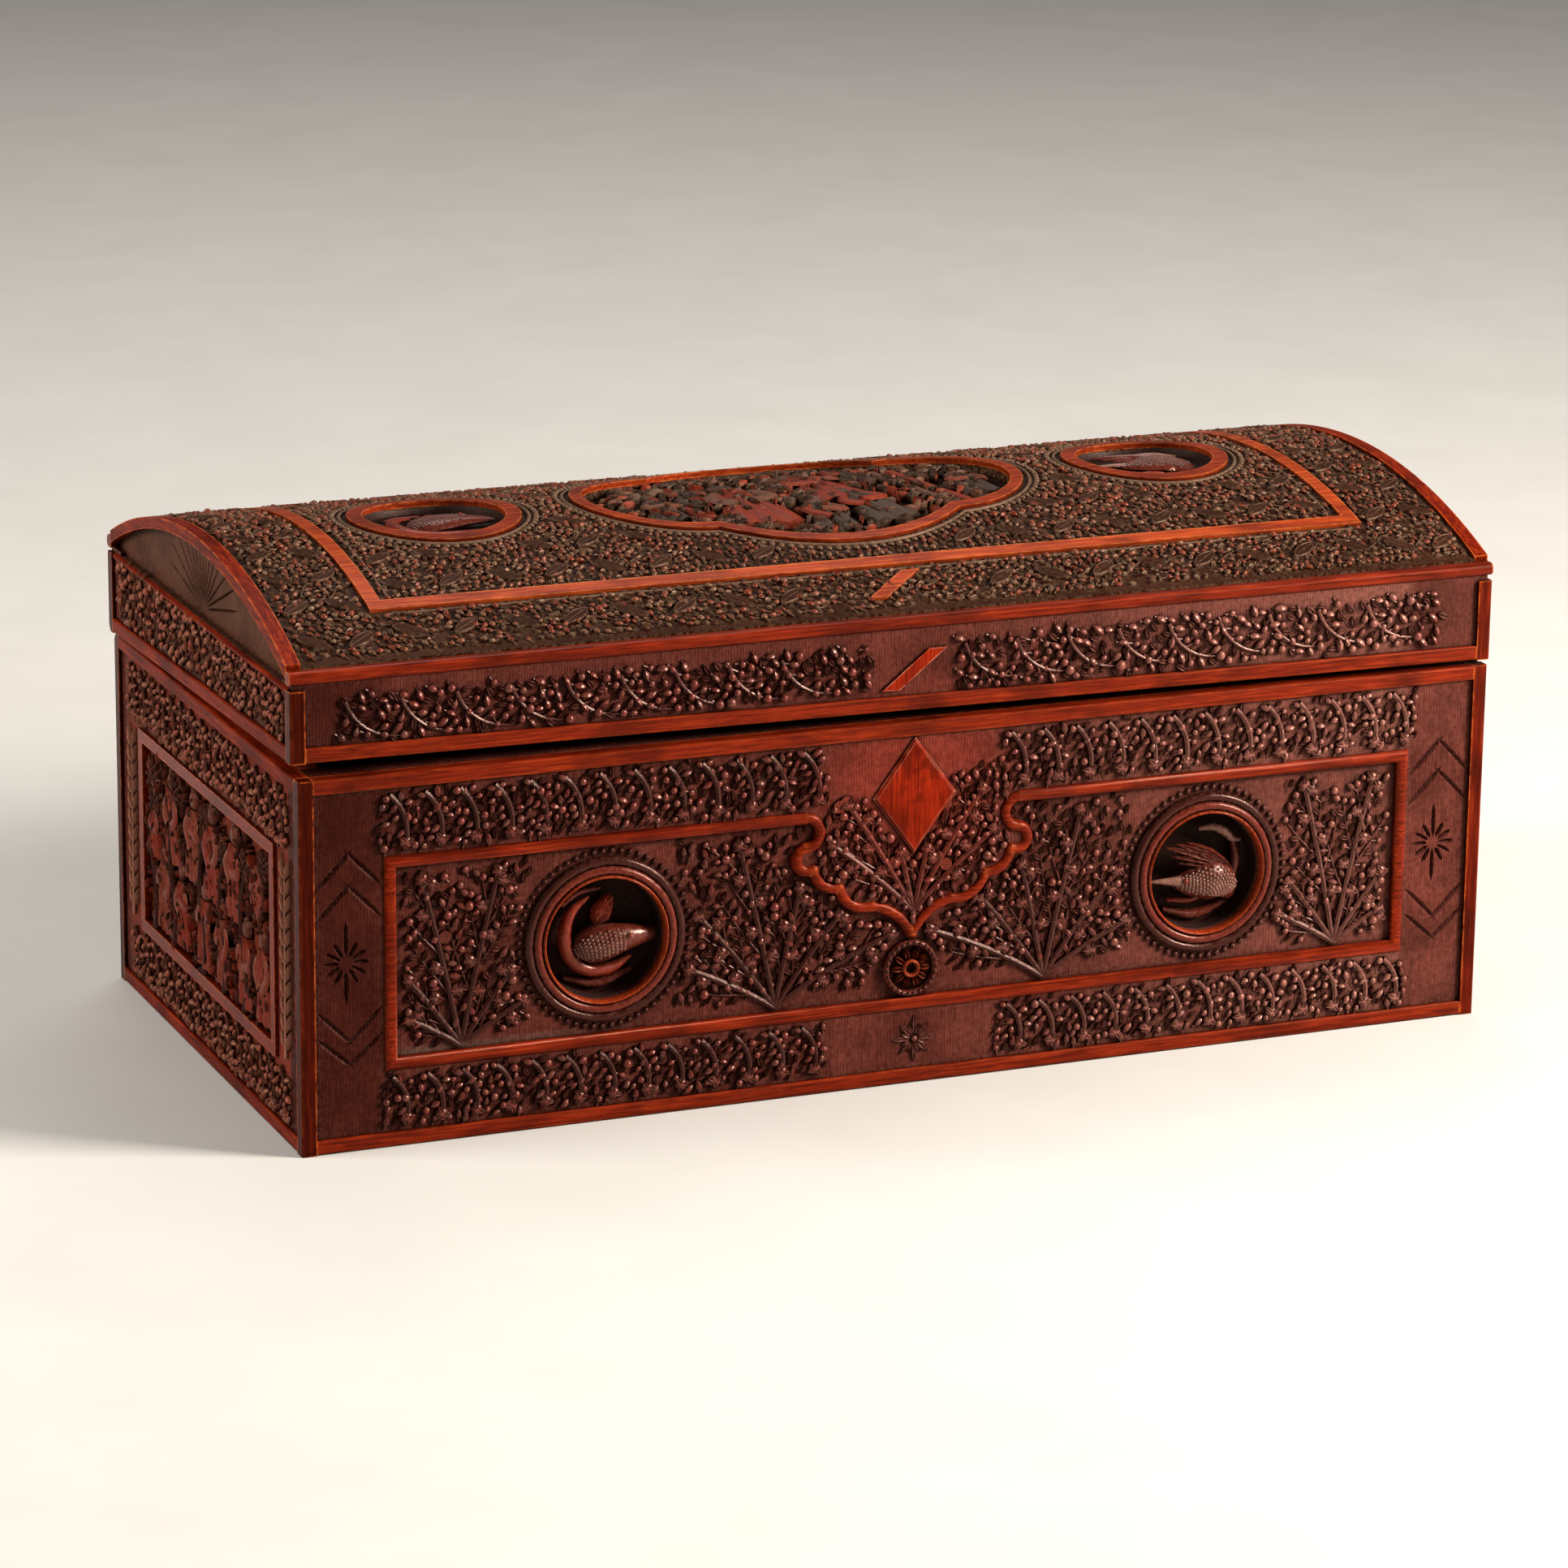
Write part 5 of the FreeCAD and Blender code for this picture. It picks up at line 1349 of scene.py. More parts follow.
def dome_carving():
    end = frame_inner_x
    edge = arch_inner_x
    third = end / 3
    for index, (start, stop) in enumerate(((-end, -third), (-third, third), (third, end))):
        for part, seed, low, high, sign in dome_fields:
            dome_foliage("dome_field_%s_%d" % (part, index), seed + index, (start, low), (stop, high),
                         in_dome_field, sign * field_headings[index], field_pitch)
    for index, (start, stop) in enumerate(((-edge, 0), (0, edge))):
        for part, seed, low, high, sign in dome_borders:
            dome_foliage("dome_%s_border_%d" % (part, index), seed + index, (start, low), (stop, high),
                         in_dome_border, sign * border_headings[index], border_pitch)
    for index, (start, stop) in enumerate(((-edge, -end), (end, edge))):
        dome_foliage("dome_end_border_%d" % index, 90 + index, (start, -frame_outer_arc),
                     (stop, frame_outer_arc), in_dome_border, dome_end_headings[index], border_pitch)


def dome_rims():
    # Thin ridge and a row of pearls outside the cartouche and the roundels, and lines along the frame
    carving = Carving(dome_face)
    rims = [[cartouche_outline(gap) for gap in (ridge_gap, pearl_gap)]]
    for x in (-dome_roundel_x, dome_roundel_x):
        rims.append([circle((x, 0), dome_roundel_radius + gap, 80) for gap in (ridge_gap, pearl_gap)])
    for ridge, beads in rims:
        sweep(carving, ridge, half_round(0.55, 0.7), LEAF_TONE, closed=True)
        pearls(carving, beads, 2.4, 0.85, LEAF_TONE)
    inner = frame_inner_x - frame_line_gap
    outer = frame_outer_arc + 1.5
    reach = frame_inner_arc - frame_line_gap
    for mirror in (1, -1):
        upright = [(mirror * inner, v) for v in np.linspace(-reach, reach, 40)]
        level = [(u, mirror * outer) for u in (-frame_inner_x, frame_inner_x)]
        sweep(carving, upright, half_round(0.4, 0.6), LEAF_TONE)
        sweep(carving, level, half_round(0.4, 0.5), LEAF_TONE)
    carving.build("dome_pearl_rows", "lid", dome_wood, 1.0)


# Rim of the lid

lid_band_low = 101.0
lid_band_high = 113.6
lid_band_spans = ((-149.0, -11.0), (12.0, 146.0))
lid_twig_pitch = 14.0


def lid_front_band():
    carving = Carving(lid_front_face)
    for index, (start, stop) in enumerate(lid_band_spans):
        low, high = (start, lid_band_low + 1.6 * (1 - index)), (stop, lid_band_high)
        foliage = Foliage(carving, 100 + index, in_box(low, high), 1.25, 2.1)
        for step in range(int((stop - start) / lid_twig_pitch)):
            top = (start + step * lid_twig_pitch + 1.5, high[1] - 1.2)
            foliage.twig(top, -72, 78, 19.0, 1.2, 3.6, 2.9, 0.2)
        foliage.fill(low, high, -40, 0.35)
    carving.build("lid_front_foliage", "lid", carved_front)


# Roundels on the front: dark roll, orange lip and a bird in a deep hole lined with painted shade

roundel_hole_radius = 15.5
roundel_hole_depth = 7.5
hole_floor_y = front_y + roundel_hole_depth
ring_height = field_y - ring_low[1]


def front_roundel(side, x):
    centre = (x, roundel_z)
    carving = Carving(field_face)
    rings = ((0.5, 0.5, ring_height, BERRY_TONE), (2.1, 1.15, 0.94 * ring_height, STEM_TONE),
             (4.35, 1.1, 0.8 * ring_height, LEAF_TONE))
    for out, half_width, height, tone in rings:
        profile = half_round(half_width, height, foot=0.4 * height)
        sweep(carving, circle(centre, roundel_hole_radius + out, 96), profile, tone, closed=True)
    piece = carving.build("front_%s_roundel_carved" % side, "base", ring_wood, ring_height)
    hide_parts("front_%s_roundel_ring" % side)


def shade_lining(name, place, radius, wall, body):
    # Thin cup of painted shade that lines a hole: floor, wall and rim in one closed skin
    carving = Carving(place)
    inner = ((0.02, 0.1), (0.7, 0.1), (0.93, 0.25), (0.985, 1.0), (0.99, wall))
    outer = ((0.998, wall), (0.998, 0.02), (0.02, 0.02))
    rows = []
    for share, height in inner + outer:
        rows.append(np.column_stack((circle((0, 0), radius * share, 48), np.full(48, height))))
    carving.add_grid(np.stack(rows), LEAF_TONE, closed=True)
    carving.build(name, body, hole_shade, 4.0)


def limb(carving, controls, tone, count=20, sides=12):
    # Smooth tube through control rows of u, v, h, half width and half height
    rows = rounded(controls, count)
    tube(carving, rows[:, :3], np.maximum(rows[:, 3], 0.15), np.maximum(rows[:, 4], 0.15), tone, sides)
    return rows


def scaly(carving, rows, tone, size):
    # Small overlapping scales on the upper side of a limb
    normals = side_normals(rows[:, :2], False)
    for index in range(2, len(rows) - 3):
        for step in range(7):
            share = 0.2 * (step - 3 + 0.5 * (index % 2))
            u, v = rows[index, :2] + normals[index] * share * rows[index, 3]
            lift = rows[index, 2] + rows[index, 4] * math.sqrt(max(0.0, 1 - share * share))
            berry(carving, u, v, size, 0.6 * size, tone, sides=6, lift=lift - 0.25 * size)


def wing(carving, u, v, heading, length, width, lift, feathers, tone):
    # Long feathers side by side, from the wing's root
    for step in range(feathers):
        share = step / (feathers - 1) - 0.5
        reach = length * (1 - 0.5 * abs(share))
        raised = lift + 0.4 * (1 - abs(share))
        leaf(carving, u, v, heading + 22 * share, reach, width / feathers * 2.0, 1.2, tone, 0.12, raised)


# Branch under a bird
perch = ((-9.0, -10.6, 0.6, 0.8, 1.2), (0.0, -12.8, 0.8, 1.4, 1.6), (9.0, -10.2, 0.6, 0.8, 1.2))


def resting_bird(carving):
    # Plump bird with its head low to the right, inside a curved tail and under a raised wing
    back = limb(carving, [
        (-7.5, -4.2, 3.0, 0.6, 0.6), (-4.5, -2.8, 3.6, 4.0, 3.2), (0.5, -1.6, 4.2, 4.7, 3.6),
        (6.0, -0.8, 4.4, 3.5, 2.9), (10.5, -0.7, 4.2, 2.4, 1.9), (14.0, -0.8, 3.8, 1.5, 1.0),
    ], LEAF_TONE, 26)
    scaly(carving, back[:18], RESTING_SCALES_TONE, 0.45)
    berry(carving, 6.4, 0.3, 1.25, 0.7, STEM_TONE, 10, 6.6)
    berry(carving, 6.4, 0.3, 0.65, 0.6, BERRY_TONE, 8, 7.2)
    limb(carving, [
        (-2.5, 9.8, 2.0, 0.4, 0.5), (-7.4, 6.4, 2.8, 1.3, 1.4), (-9.3, 1.0, 3.2, 1.7, 1.7),
        (-8.0, -4.6, 3.2, 1.8, 1.7), (-3.2, -8.6, 3.0, 1.7, 1.6), (3.0, -8.8, 2.8, 1.4, 1.4),
        (8.5, -6.4, 2.2, 0.4, 0.6),
    ], BERRY_TONE, 30)
    wing(carving, -1.5, 2.6, 52, 9.5, 9.0, 2.6, 4, BERRY_TONE)
    limb(carving, [
        (-9.5, 8.0, 2.0, 0.5, 0.6), (-5.5, 11.0, 2.2, 0.8, 0.8), (0.5, 11.8, 2.0, 0.5, 0.6),
    ], LEAF_TONE)
    limb(carving, perch, LEAF_TONE)


def crested_bird(carving):
    # Bird that looks left, with a flat beak, a long raised wing and a curled plume
    # Pale beak: its colour is a painted highlight
    limb(carving, [
        (-14.8, -1.7, 5.2, 0.3, 0.4), (-11.0, -1.9, 5.4, 0.8, 0.8), (-6.0, -2.4, 5.2, 1.5, 1.5),
    ], STEM_TONE)
    back = limb(carving, [
        (-7.5, -2.8, 4.6, 1.4, 1.4), (-2.5, -3.0, 4.6, 4.0, 2.9), (2.5, -2.8, 4.6, 5.6, 3.6),
        (6.5, -4.6, 4.0, 4.6, 3.0), (9.0, -8.2, 3.0, 1.6, 1.3),
    ], LEAF_TONE, 24)
    scaly(carving, back, CRESTED_SCALES_TONE, 0.55)
    berry(carving, -5.2, -2.0, 0.8, 0.6, BERRY_TONE, 8, 6.8)
    wing(carving, 8.4, 0.0, 153, 20.0, 7.0, 5.0, 5, LEAF_TONE)
    # Pale curled plume: its colour is a painted highlight
    limb(carving, [
        (0.0, 10.2, 2.6, 0.5, 0.6), (4.0, 10.6, 3.4, 1.1, 1.1), (7.2, 9.0, 3.8, 1.2, 1.2),
        (9.2, 7.0, 3.6, 0.9, 1.0), (11.6, 6.6, 3.2, 0.5, 0.6),
    ], STEM_TONE)
    limb(carving, [
        (9.8, 6.0, 2.6, 0.7, 0.8), (10.6, 2.0, 2.8, 1.2, 1.2), (9.8, -2.0, 2.8, 1.2, 1.2),
        (8.4, -5.4, 2.6, 0.6, 0.8),
    ], LEAF_TONE)
    limb(carving, [
        (-8.6, -7.6, 2.8, 0.5, 0.6), (-3.0, -7.9, 3.4, 1.0, 1.0), (1.5, -7.4, 3.0, 0.6, 0.7),
    ], BERRY_TONE)
    limb(carving, perch, LEAF_TONE)


def front_bird(side, x, draw):
    place = flat_face((x, hole_floor_y, roundel_z), (1, 0, 0), (0, -1, 0))
    shade_lining("front_%s_roundel_lining" % side, place, roundel_hole_radius, 5.0, "base")
    carving = Carving(place)
    draw(carving)
    piece = carving.build("front_%s_bird_carved" % side, "base", figure_wood, 8.0)
    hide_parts("front_%s_bird" % side)


# Rosette boss: half width of its rim, and its pearls and petals
boss_roll = 0.8
boss_pearls = 26
boss_petals = 10
petal_start = 1.9


def boss():
    # Dark ring of pearls round a flower with a hollow middle
    carving = Carving(field_face)
    centre = (0, boss_z)
    height = field_y - boss_low[1]
    rim = boss_radius - boss_roll
    rim_profile = half_round(boss_roll, 0.75 * height, foot=0.5)
    sweep(carving, circle(centre, rim, 64), rim_profile, STEM_TONE, closed=True)
    sweep(carving, circle(centre, petal_start, 40), half_round(0.7, 0.9 * height), BERRY_TONE, closed=True)
    for place in circle(centre, rim, boss_pearls):
        berry(carving, *place, 0.6, 0.6, LEAF_TONE, 8, 0.65 * height)
    for step in range(boss_petals):
        heading = 360 / boss_petals * step
        start = centre + petal_start * direction(heading)
        leaf(carving, *start, heading, 3.6, 2.3, 0.9 * height, PETAL_TONE)
    piece = carving.build("rosette_boss_carved", "base", ring_wood, height)
    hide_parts("rosette_boss")


# Ends of the box

end_field_x = -end_moulding_high[0]
lid_end_x = -lid_left_low[0]
gable_x = 158.8
band_top_z = 115.2

# Opening of the lid's seam at the front of each end and at the back, and half the depth it narrows over
seam_high = {"left": 4.0, "right": 1.0}
seam_back = 0.6
seam_half = 75.0

# Half widths of the carving on the ends
lid_end_half = 69.0
end_band_half = 66.0
end_stem_u = 64.0


def end_face(side, distance):
    sign = -1 if side == "left" else 1
    return flat_face((sign * distance, 0, 0), (0, sign, 0), (sign, 0, 0))


# A robe's half width at each rise and its head, as shares of the figure's height
robe_rises = (0.0, 0.3, 0.5, 0.64, 0.78)
robe_halves = (0.27, 0.21, 0.16, 0.19, 0.08)
head_rise = 0.87
head_share = 0.11
robe_cover = 0.5


def robed_figure(carving, rng, u, v, height, lean, rise, tone):
    # Flattened figure in a long folded robe with sleeves and a topknot; its face is left plain
    folds_turn = rng.uniform(0, 6)
    fold_count = rng.uniform(9, 13)
    up = direction(90 + lean)
    across = np.array((up[1], -up[0]))
    foot = np.array((u, v))
    spread_out = np.linspace(-1, 1, 17)
    inward = 1 - spread_out ** 2
    crown = rise * np.sqrt(1 - np.abs(spread_out) ** 5)
    rows = []
    for share in np.linspace(0, robe_rises[-1], 16):
        half = np.interp(share, robe_rises, robe_halves) * height + robe_cover
        folds = 0.22 * rise * np.cos(fold_count * spread_out + 5 * share + folds_turn) * inward
        sides = np.concatenate(((-half,), half * spread_out, (half,)))
        heights = np.concatenate(((-0.3,), crown - 0.2 * rise * inward + folds, (-0.3,)))
        place = foot + np.outer(sides, across) + share * height * up
        rows.append(np.column_stack((place, heights)))
    carving.add_grid(np.array(rows), tone)

    def at(side, climb, out, half_width):
        place = foot + height * (side * across + climb * up)
        return (*place, rise * out, height * half_width, 0.28 * rise)

    for side in (-1, 1):
        hand = rng.uniform(-0.05, 0.2)
        limb(carving, [at(0.12 * side, 0.68, 0.7, 0.045), at(0.2 * side, 0.52, 0.8, 0.065),
                       at(hand * side, rng.uniform(0.3, 0.6), 0.9, 0.06)], rng.uniform(STEM_TONE, 0.9), 8, 8)
    head = foot + head_rise * height * up
    berry(carving, *head, head_share * height + 0.3, 0.9 * rise, rng.uniform(LEAF_TONE, 0.5), 12)
    topknot = foot + (head_rise + 0.11) * height * up
    berry(carving, *topknot, 0.05 * height, 0.8 * rise, LEAF_TONE, 8)


fragment_tones = (LEAF_TONE, LEAF_TONE, STEM_TONE, BERRY_TONE)


def fragments(carving, rng, low, high, count, length, rise, inside):
    # Many small leaves at all angles, each standing on the ground
    for u, v in rng.uniform(low, high, (count, 2)):
        if not inside(u, v):
            continue
        heading = rng.uniform(0, 360)
        reach = length * rng.uniform(0.6, 1.2)
        width = reach * rng.uniform(0.3, 0.5)
        tone = rng.choice(fragment_tones)
        bend = rng.uniform(-0.3, 0.3)
        lift = rng.uniform(0.4, 0.85) * rise
        leaf(carving, u, v, heading, reach, width, 0.35 * rise, tone, bend, lift, True)


def leafy_clump(carving, u, v, radius, rise):
    # Round tuft: leaves that point outwards in two rings over a low mound
    berry(carving, u, v, radius + 0.3, 0.75 * rise, LEAF_TONE, 16)
    for ring, count, length in ((0.45, 11, 0.62), (0.1, 6, 0.5)):
        for step in range(count):
            heading = 360 * (step + ring) / count
            start = (u, v) + ring * radius * direction(heading)
            leaf(carving, *start, heading, length * radius, 0.3 * radius, 0.3 * rise, LEAF_TONE,
                 bend=0.1, lift=0.68 * rise)


def parasol(carving, u, v, radius, rise):
    # Round parasol with raised ribs and a rim
    berry(carving, u, v, radius + 0.3, 0.8 * rise, BERRY_TONE, 24)
    for step in range(12):
        way = direction(30 * step)
        spine = [(*((u, v) + share * radius * way), 0.75 * rise * (1.05 - 0.4 * share))
                 for share in (0.1, 0.5, 0.95)]
        tube(carving, spine, (0.3, 0.4, 0.3), (0.3, 0.3, 0.3), BERRY_TONE, 6)
    sweep(carving, circle((u, v), radius, 32), half_round(0.5, 0.75 * rise), STEM_TONE, closed=True)


def bar(carving, start, end, width, height, tone):
    # Straight beam with bevelled edges
    half = width / 2
    left = [(-half, -0.3), (-half, 0.75 * height), (-0.6 * half, height)]
    right = [(-side, level) for side, level in reversed(left)]
    sweep(carving, [start, end], left + right, tone)


def everywhere(u, v):
    return True


def rocks(carving, rng, low, high, count, size, inside):
    for u, v in rng.uniform(low, high, (count, 2)):
        if inside(u, v):
            radius = size * rng.uniform(0.6, 1.2)
            berry(carving, u, v, radius, radius * rng.uniform(0.5, 0.9), LEAF_TONE, 7)


# Each figure is its foot, height and lean; each clump its middle and radius; each trunk its foot and height
end_figures = (
    (-45.0, 42.0, 16.0, 0.0), (-29.5, 44.5, 24.5, 3.0), (-12.5, 44.5, 24.5, -3.0), (4.5, 44.5, 24.5, 2.0),
    (21.5, 44.5, 24.5, -2.0), (-38.0, 24.4, 23.0, -3.0), (-21.0, 24.4, 22.0, 4.0), (-4.0, 24.4, 23.0, -4.0),
    (13.0, 24.4, 22.0, 3.0), (30.0, 24.4, 23.0, -4.0), (45.5, 24.4, 24.0, 2.0),
)
end_clumps = ((-46.0, 63.0, 5.5), (47.0, 65.0, 4.0))
end_parasol = (39.0, 56.0, 6.5)
end_trunks = ((-46.0, 34.0), (-29.5, 41.0), (-4.0, 40.0), (13.0, 36.0), (30.0, 38.0))
end_tones = (BERRY_TONE, 0.8, 0.65)
end_relief = 2.2
trunk_points = 16
trunk_sway = 2.2
tuft_radius = 4.4


def end_scene(side, seed):
    # Crowded garden in the sunk panel: two rows of robed figures, trees, leaves and a parasol
    rng = np.random.default_rng(seed)
    carving = Carving(end_face(side, end_field_x))
    for index, place in enumerate(end_figures):
        robed_figure(carving, rng, *place, end_relief, end_tones[index % 3])
    for place in end_clumps:
        leafy_clump(carving, *place, end_relief)
    parasol(carving, *end_parasol, end_relief)
    handle = [(end_parasol[0] + 1.5 * step, end_parasol[1] - 4 - 2 * step, 1.0) for step in range(4)]
    tube(carving, handle, np.full(4, 0.5), np.full(4, 0.5), STEM_TONE, 8)
    low = panel_bottom + moulding_width + 0.4
    for u, height in end_trunks:
        climb = np.linspace(0, height, trunk_points)
        sway = trunk_sway * np.sin(climb / 5.0)
        spine = np.column_stack((u + sway, low + climb, np.full(trunk_points, 1.2)))
        widths = np.linspace(1.5, 0.8, trunk_points)
        tube(carving, spine, widths, np.full(trunk_points, 1.0), DARK_STEM_TONE, 8)
        leafy_clump(carving, *spine[-1, :2], tuft_radius, end_relief)
    high = panel_top - moulding_width - 2
    rocks(carving, rng, (-52, low), (52, low + 2), 50, 1.3, everywhere)
    fragments(carving, rng, (-51, low + 1), (51, high), 480, 3.4, end_relief, everywhere)
    carving.build("%s_panel_scene" % side, "base", panel_wood, end_relief)


def end_bands(side, seed):
    carving = Carving(end_face(side, -left_low[0]))
    for index, (low_z, high_z) in enumerate((top_band, bottom_band)):
        low, high = (-end_band_half, low_z), (end_band_half, high_z)
        foliage = Foliage(carving, seed + index, in_box(low, high), 1.15, 2.1)
        band_of_twigs(foliage, low, high, end_twigs)
    for u in (-end_stem_u, end_stem_u):
        foot = panel_bottom + 2.0
        stem(carving, walk((u, foot), 90, 0, 48, 12), 1.2, 0.8, STEM_TONE)
        for step in range(11):
            rise = foot + 2 + 4.3 * step
            for turn in (-1, 1):
                leaf(carving, u, rise, 90 - 42 * turn, 6.6, 2.6, 1.2, STEM_TONE, 0.22 * turn)
    carving.build("%s_band_foliage" % side, "base", carved_end)


def lid_end(side, seed):
    sign = -1 if side == "left" else 1
    carving = Carving(end_face(side, lid_end_x))
    rim = base_high[2] + strip_size + 1.2

    def inside(u, v):
        share = (seam_half - sign * u) / (2 * seam_half)
        seam = rim + seam_back + (seam_high[side] - seam_back) * share
        return abs(u) < lid_end_half and seam < v < lid_band_high + 1.0

    foliage = Foliage(carving, seed, inside, 1.2, 2.15)
    foliage.rows((-68, rim + 1), (68, lid_band_high), (8.0, 8.0), 60, 10.0)
    foliage.fill((-lid_end_half, rim), (lid_end_half, lid_band_high + 1), 60, 0.4)
    carving.build("lid_%s_foliage" % side, "lid", carved_end)
    ledge = Carving(end_face(side, lid_end_x))
    sweep(ledge, [(-72.5, band_top_z), (72.5, band_top_z)], half_round(0.9, 0.8, 0.9), STEM_TONE)
    ledge.build("lid_%s_ledge" % side, "lid", strip_wood["y"])
    cutter = Carving(end_face(side, gable_x))
    root = (sign * lid_mid, spring_z - 2.4)
    for step in range(15):
        way = direction(12 + 11.15 * step)
        reach = min(0.8 * (crown_z - root[1]) / max(way[1], 0.25), 30.0)
        groove(cutter, root + 2.0 * way, root + reach * way, 1.1, 0.6)
    cut_copy("lid_%s_board" % side, cutter, "lid_%s_board_carved" % side, "lid", gable_wood)


# Birds and scene on the dome

dome_pocket_depth = 3.4
dome_floor_radius = ground_radius - dome_pocket_depth
dome_hole_radius = 18.0


def dome_bird(side, x, draw):
    floor = domed_face(dome_floor_radius)
    scale = np.array((1.1, 1.1, 0.5))
    carving = Carving(lambda points: floor(points * scale + (x, 0, 0)))
    draw(carving)
    piece = carving.build("dome_%s_bird_carved" % side, "lid", figure_wood, 8.0)
    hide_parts("dome_%s_bird" % side)

    def lining_place(points):
        return floor(points + (x, 0, 0))

    shade_lining("dome_%s_roundel_lining" % side, lining_place, dome_hole_radius, 3.0, "lid")


# Each beam is its two ends; figures and clumps are as on the ends of the box
scene_beams = (
    (-41.0, 21.0, -49.0, 0.0), (-41.0, 21.0, -30.0, -18.0),
    (26.0, 13.0, 34.0, -20.0), (31.0, 13.0, 39.0, -20.0),
)
scene_figures = (
    (-17.0, -24.0, 40.0, 0.0), (10.0, -9.0, 34.0, 10.0), (16.0, -27.0, 28.0, 12.0), (-40.0, -16.0, 20.0, 0.0),
    (46.0, -14.0, 22.0, 0.0), (-1.0, -31.0, 24.0, -4.0), (20.0, 6.0, 20.0, 6.0), (-30.0, -6.0, 20.0, -6.0),
)
scene_clumps = (
    (-4.0, 27.0, 6.0), (12.0, 29.0, 5.0), (-24.0, 21.0, 5.5), (33.0, 19.0, 4.5), (47.0, 13.0, 4.0),
    (-50.0, -9.0, 4.0), (-26.0, -20.0, 4.5), (-8.0, -31.0, 4.0), (-6.0, 6.0, 5.0),
)
scene_low = (-56, -38)
scene_high = (56, 37)
scene_floor = 0.6
scene_relief = 2.5


def cartouche_scene():
    # Roof beams, figures and tufts of leaves over a floor painted near black as shade
    rng = np.random.default_rng(5)
    carving = Carving(domed_face(dome_floor_radius + scene_floor))
    # Floor sheet under the scene, painted near black as shade
    floor = cartouche_outline(-cartouche_rim_width)
    rows = [np.column_stack((floor * share, np.full(len(floor), height)))
            for share, height in ((0.02, 0.0), (1.0, 0.0), (1.0, -0.5), (0.02, -0.5))]
    carving.add_grid(np.stack(rows), 0.0, closed=True)
    for index, (x0, y0, x1, y1) in enumerate(scene_beams):
        tone = BERRY_TONE if index % 2 else STEM_TONE
        bar(carving, (x0, arc_of(y0)), (x1, arc_of(y1)), 2.8, scene_relief, tone)
    for index, (x, y, height, lean) in enumerate(scene_figures):
        tone = BERRY_TONE if index < 2 else LEAF_TONE
        robed_figure(carving, rng, x, arc_of(y), height, lean, scene_relief, tone)
    for x, y, radius in scene_clumps:
        leafy_clump(carving, x, arc_of(y), radius, scene_relief)

    def within(u, v):
        return in_cartouche(u, v, -cartouche_rim_width - 4.0)

    rocks(carving, rng, scene_low, scene_high, 150, 1.5, within)
    fragments(carving, rng, scene_low, scene_high, 700, 4.2, scene_relief, within)
    piece = carving.build("cartouche_scene_carved", "lid", scene_wood, 3.0)
    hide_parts("cartouche_scene")


# Plain back with cut border lines and three stars

back_line_insets = (9.0, 12.0)
back_stars = (-90, 0, 90)


def back_grooves():
    cutter = Carving(back_face)
    for inset in back_line_insets:
        across = -left_low[0] - inset - 4
        low = strip_size + inset
        high = base_high[2] - strip_size - inset
        corners = ((-across, low), (across, low), (across, high), (-across, high))
        for start, end in zip(corners, corners[1:] + corners[:1]):
            groove(cutter, start, end, 1.2, 0.6)
    for u in back_stars:
        chip_star(cutter, u, base_high[2] / 2, 8, 2.6, 0.7, 14.0, 10.0)
    cut_copy("base_back_board", cutter, "back_board_carved", "base", carved_back)


front_moulding()
front_bands()
front_sprays()
front_grooves()
boss()
for side, x, draw in (("left", -roundel_x, resting_bird), ("right", roundel_x, crested_bird)):
    front_roundel(side, x)
    front_bird(side, x, draw)
for side, seed in (("left", 120), ("right", 130)):
    end_scene(side, seed)
    end_bands(side, seed + 1)
    lid_end(side, seed + 4)
dome_carving()
dome_rims()
for side, x, draw in (("left", -dome_roundel_x, resting_bird), ("right", dome_roundel_x, crested_bird)):
    dome_bird(side, x, draw)
cartouche_scene()
lid_front_band()
back_grooves()


# Camera at the photograph's place, with a long lens

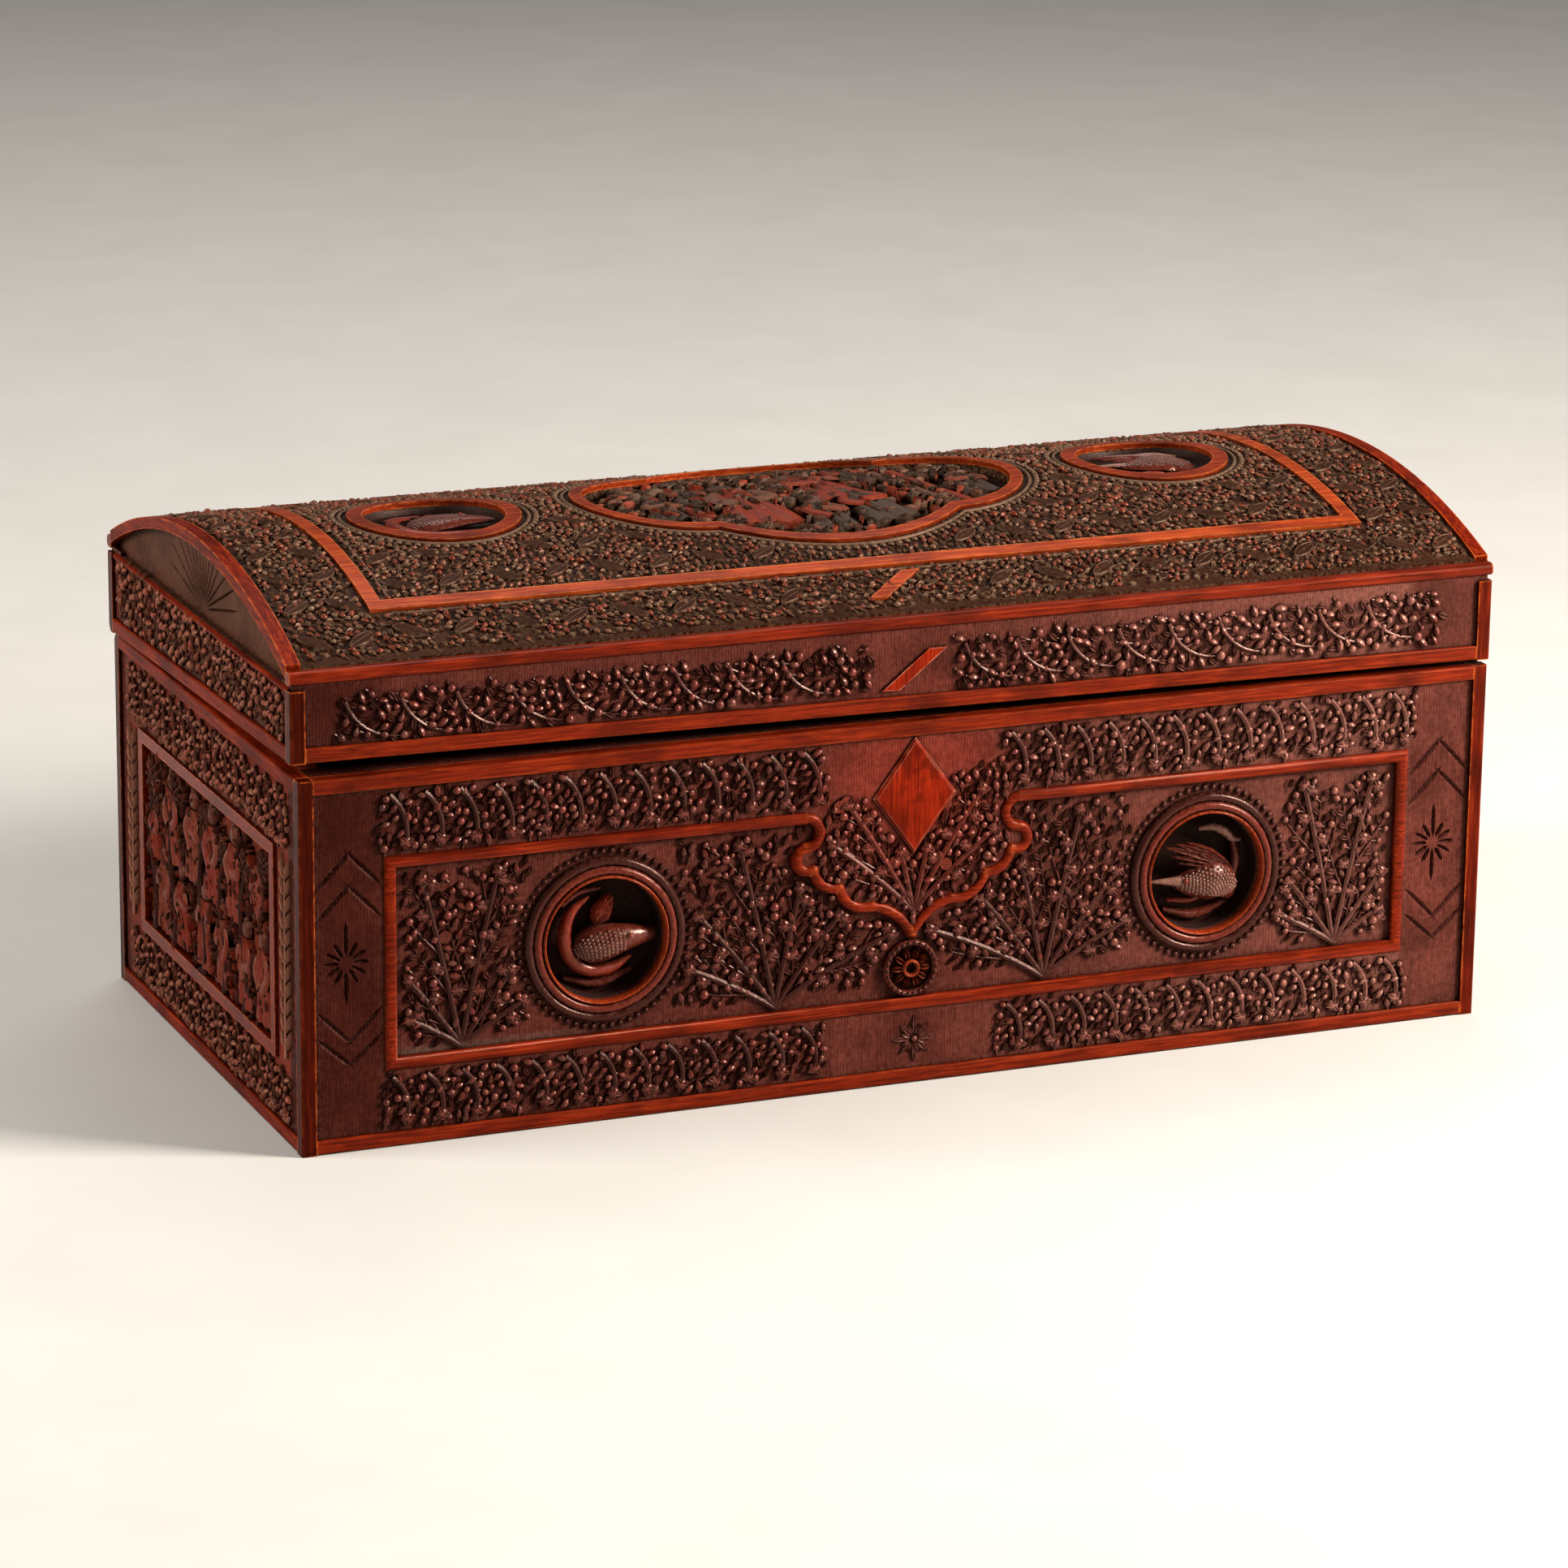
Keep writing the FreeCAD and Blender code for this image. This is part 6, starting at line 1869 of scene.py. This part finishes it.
camera_data = bpy.data.cameras.new("camera")
camera_data.sensor_width = 36.0
camera_data.lens = 136.8
camera = bpy.data.objects.new("camera", camera_data)
bpy.context.scene.collection.objects.link(camera)
camera_place = Vector((-0.57707, -1.37279, 0.47969))
camera_azimuth = math.radians(-22.69)
camera_elevation = math.radians(15.83)
camera_roll = math.radians(0.636)
back_direction = Vector((math.sin(camera_azimuth) * math.cos(camera_elevation),
                         -math.cos(camera_azimuth) * math.cos(camera_elevation), math.sin(camera_elevation)))
level = (-back_direction).to_track_quat("-Z", "Y").to_matrix().to_4x4()
camera.matrix_world = Matrix.Translation(camera_place) @ level @ Matrix.Rotation(camera_roll, 4, "Z")
bpy.context.scene.camera = camera

# Pale floor and soft studio light

floor_mesh = bpy.data.meshes.new("floor")
floor_size = 6.0
floor_corners = [(x * floor_size, y * floor_size, 0) for x, y in ((-1, -1), (1, -1), (1, 1), (-1, 1))]
floor_mesh.from_pydata(floor_corners, [], [(0, 1, 2, 3)])
floor = bpy.data.objects.new("floor", floor_mesh)
bpy.context.scene.collection.objects.link(floor)
floor_material, floor_tree, floor_shader = new_material("floor_paper")
floor_speck = noise(floor_tree, millimetres(floor_tree), 0.02, 3.0)
floor_tree.links.new(ramp(floor_tree, floor_speck, ((0.3, (0.58, 0.56, 0.53)), (0.7, (0.61, 0.59, 0.56)))),
                     floor_shader.inputs["Base Color"])
floor_shader.inputs["Roughness"].default_value = 0.8
floor_mesh.materials.append(floor_material)
floor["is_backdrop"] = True

world = bpy.data.worlds.new("studio")
bpy.context.scene.world = world
world.use_nodes = True
world.node_tree.nodes["Background"].inputs["Color"].default_value = (0.80, 0.78, 0.75, 1.0)
world.node_tree.nodes["Background"].inputs["Strength"].default_value = 0.15


def soft_light(name, place, size, power, colour):
    data = bpy.data.lights.new(name, "AREA")
    data.shape = "SQUARE"
    data.size = size
    data.energy = power
    data.color = colour
    lamp = bpy.data.objects.new(name, data)
    bpy.context.scene.collection.objects.link(lamp)
    lamp.location = place
    lamp.rotation_euler = (Vector((0, 0, 0.07)) - Vector(place)).to_track_quat("-Z", "Y").to_euler()


soft_light("key_light", (1.0, -0.72, 0.62), 0.42, 48.0, (1.0, 0.94, 0.86))
soft_light("left_light", (-1.4, 0.15, 0.8), 0.7, 22.0, (1.0, 0.95, 0.88))
soft_light("front_light", (-0.5, -1.9, 1.3), 0.9, 3.5, (1.0, 0.97, 0.93))
soft_light("top_light", (0.3, 0.9, 1.5), 0.9, 9.0, (1.0, 0.98, 0.95))

scene_view = bpy.context.scene.view_settings
scene_view.view_transform = "Standard"

low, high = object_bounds()
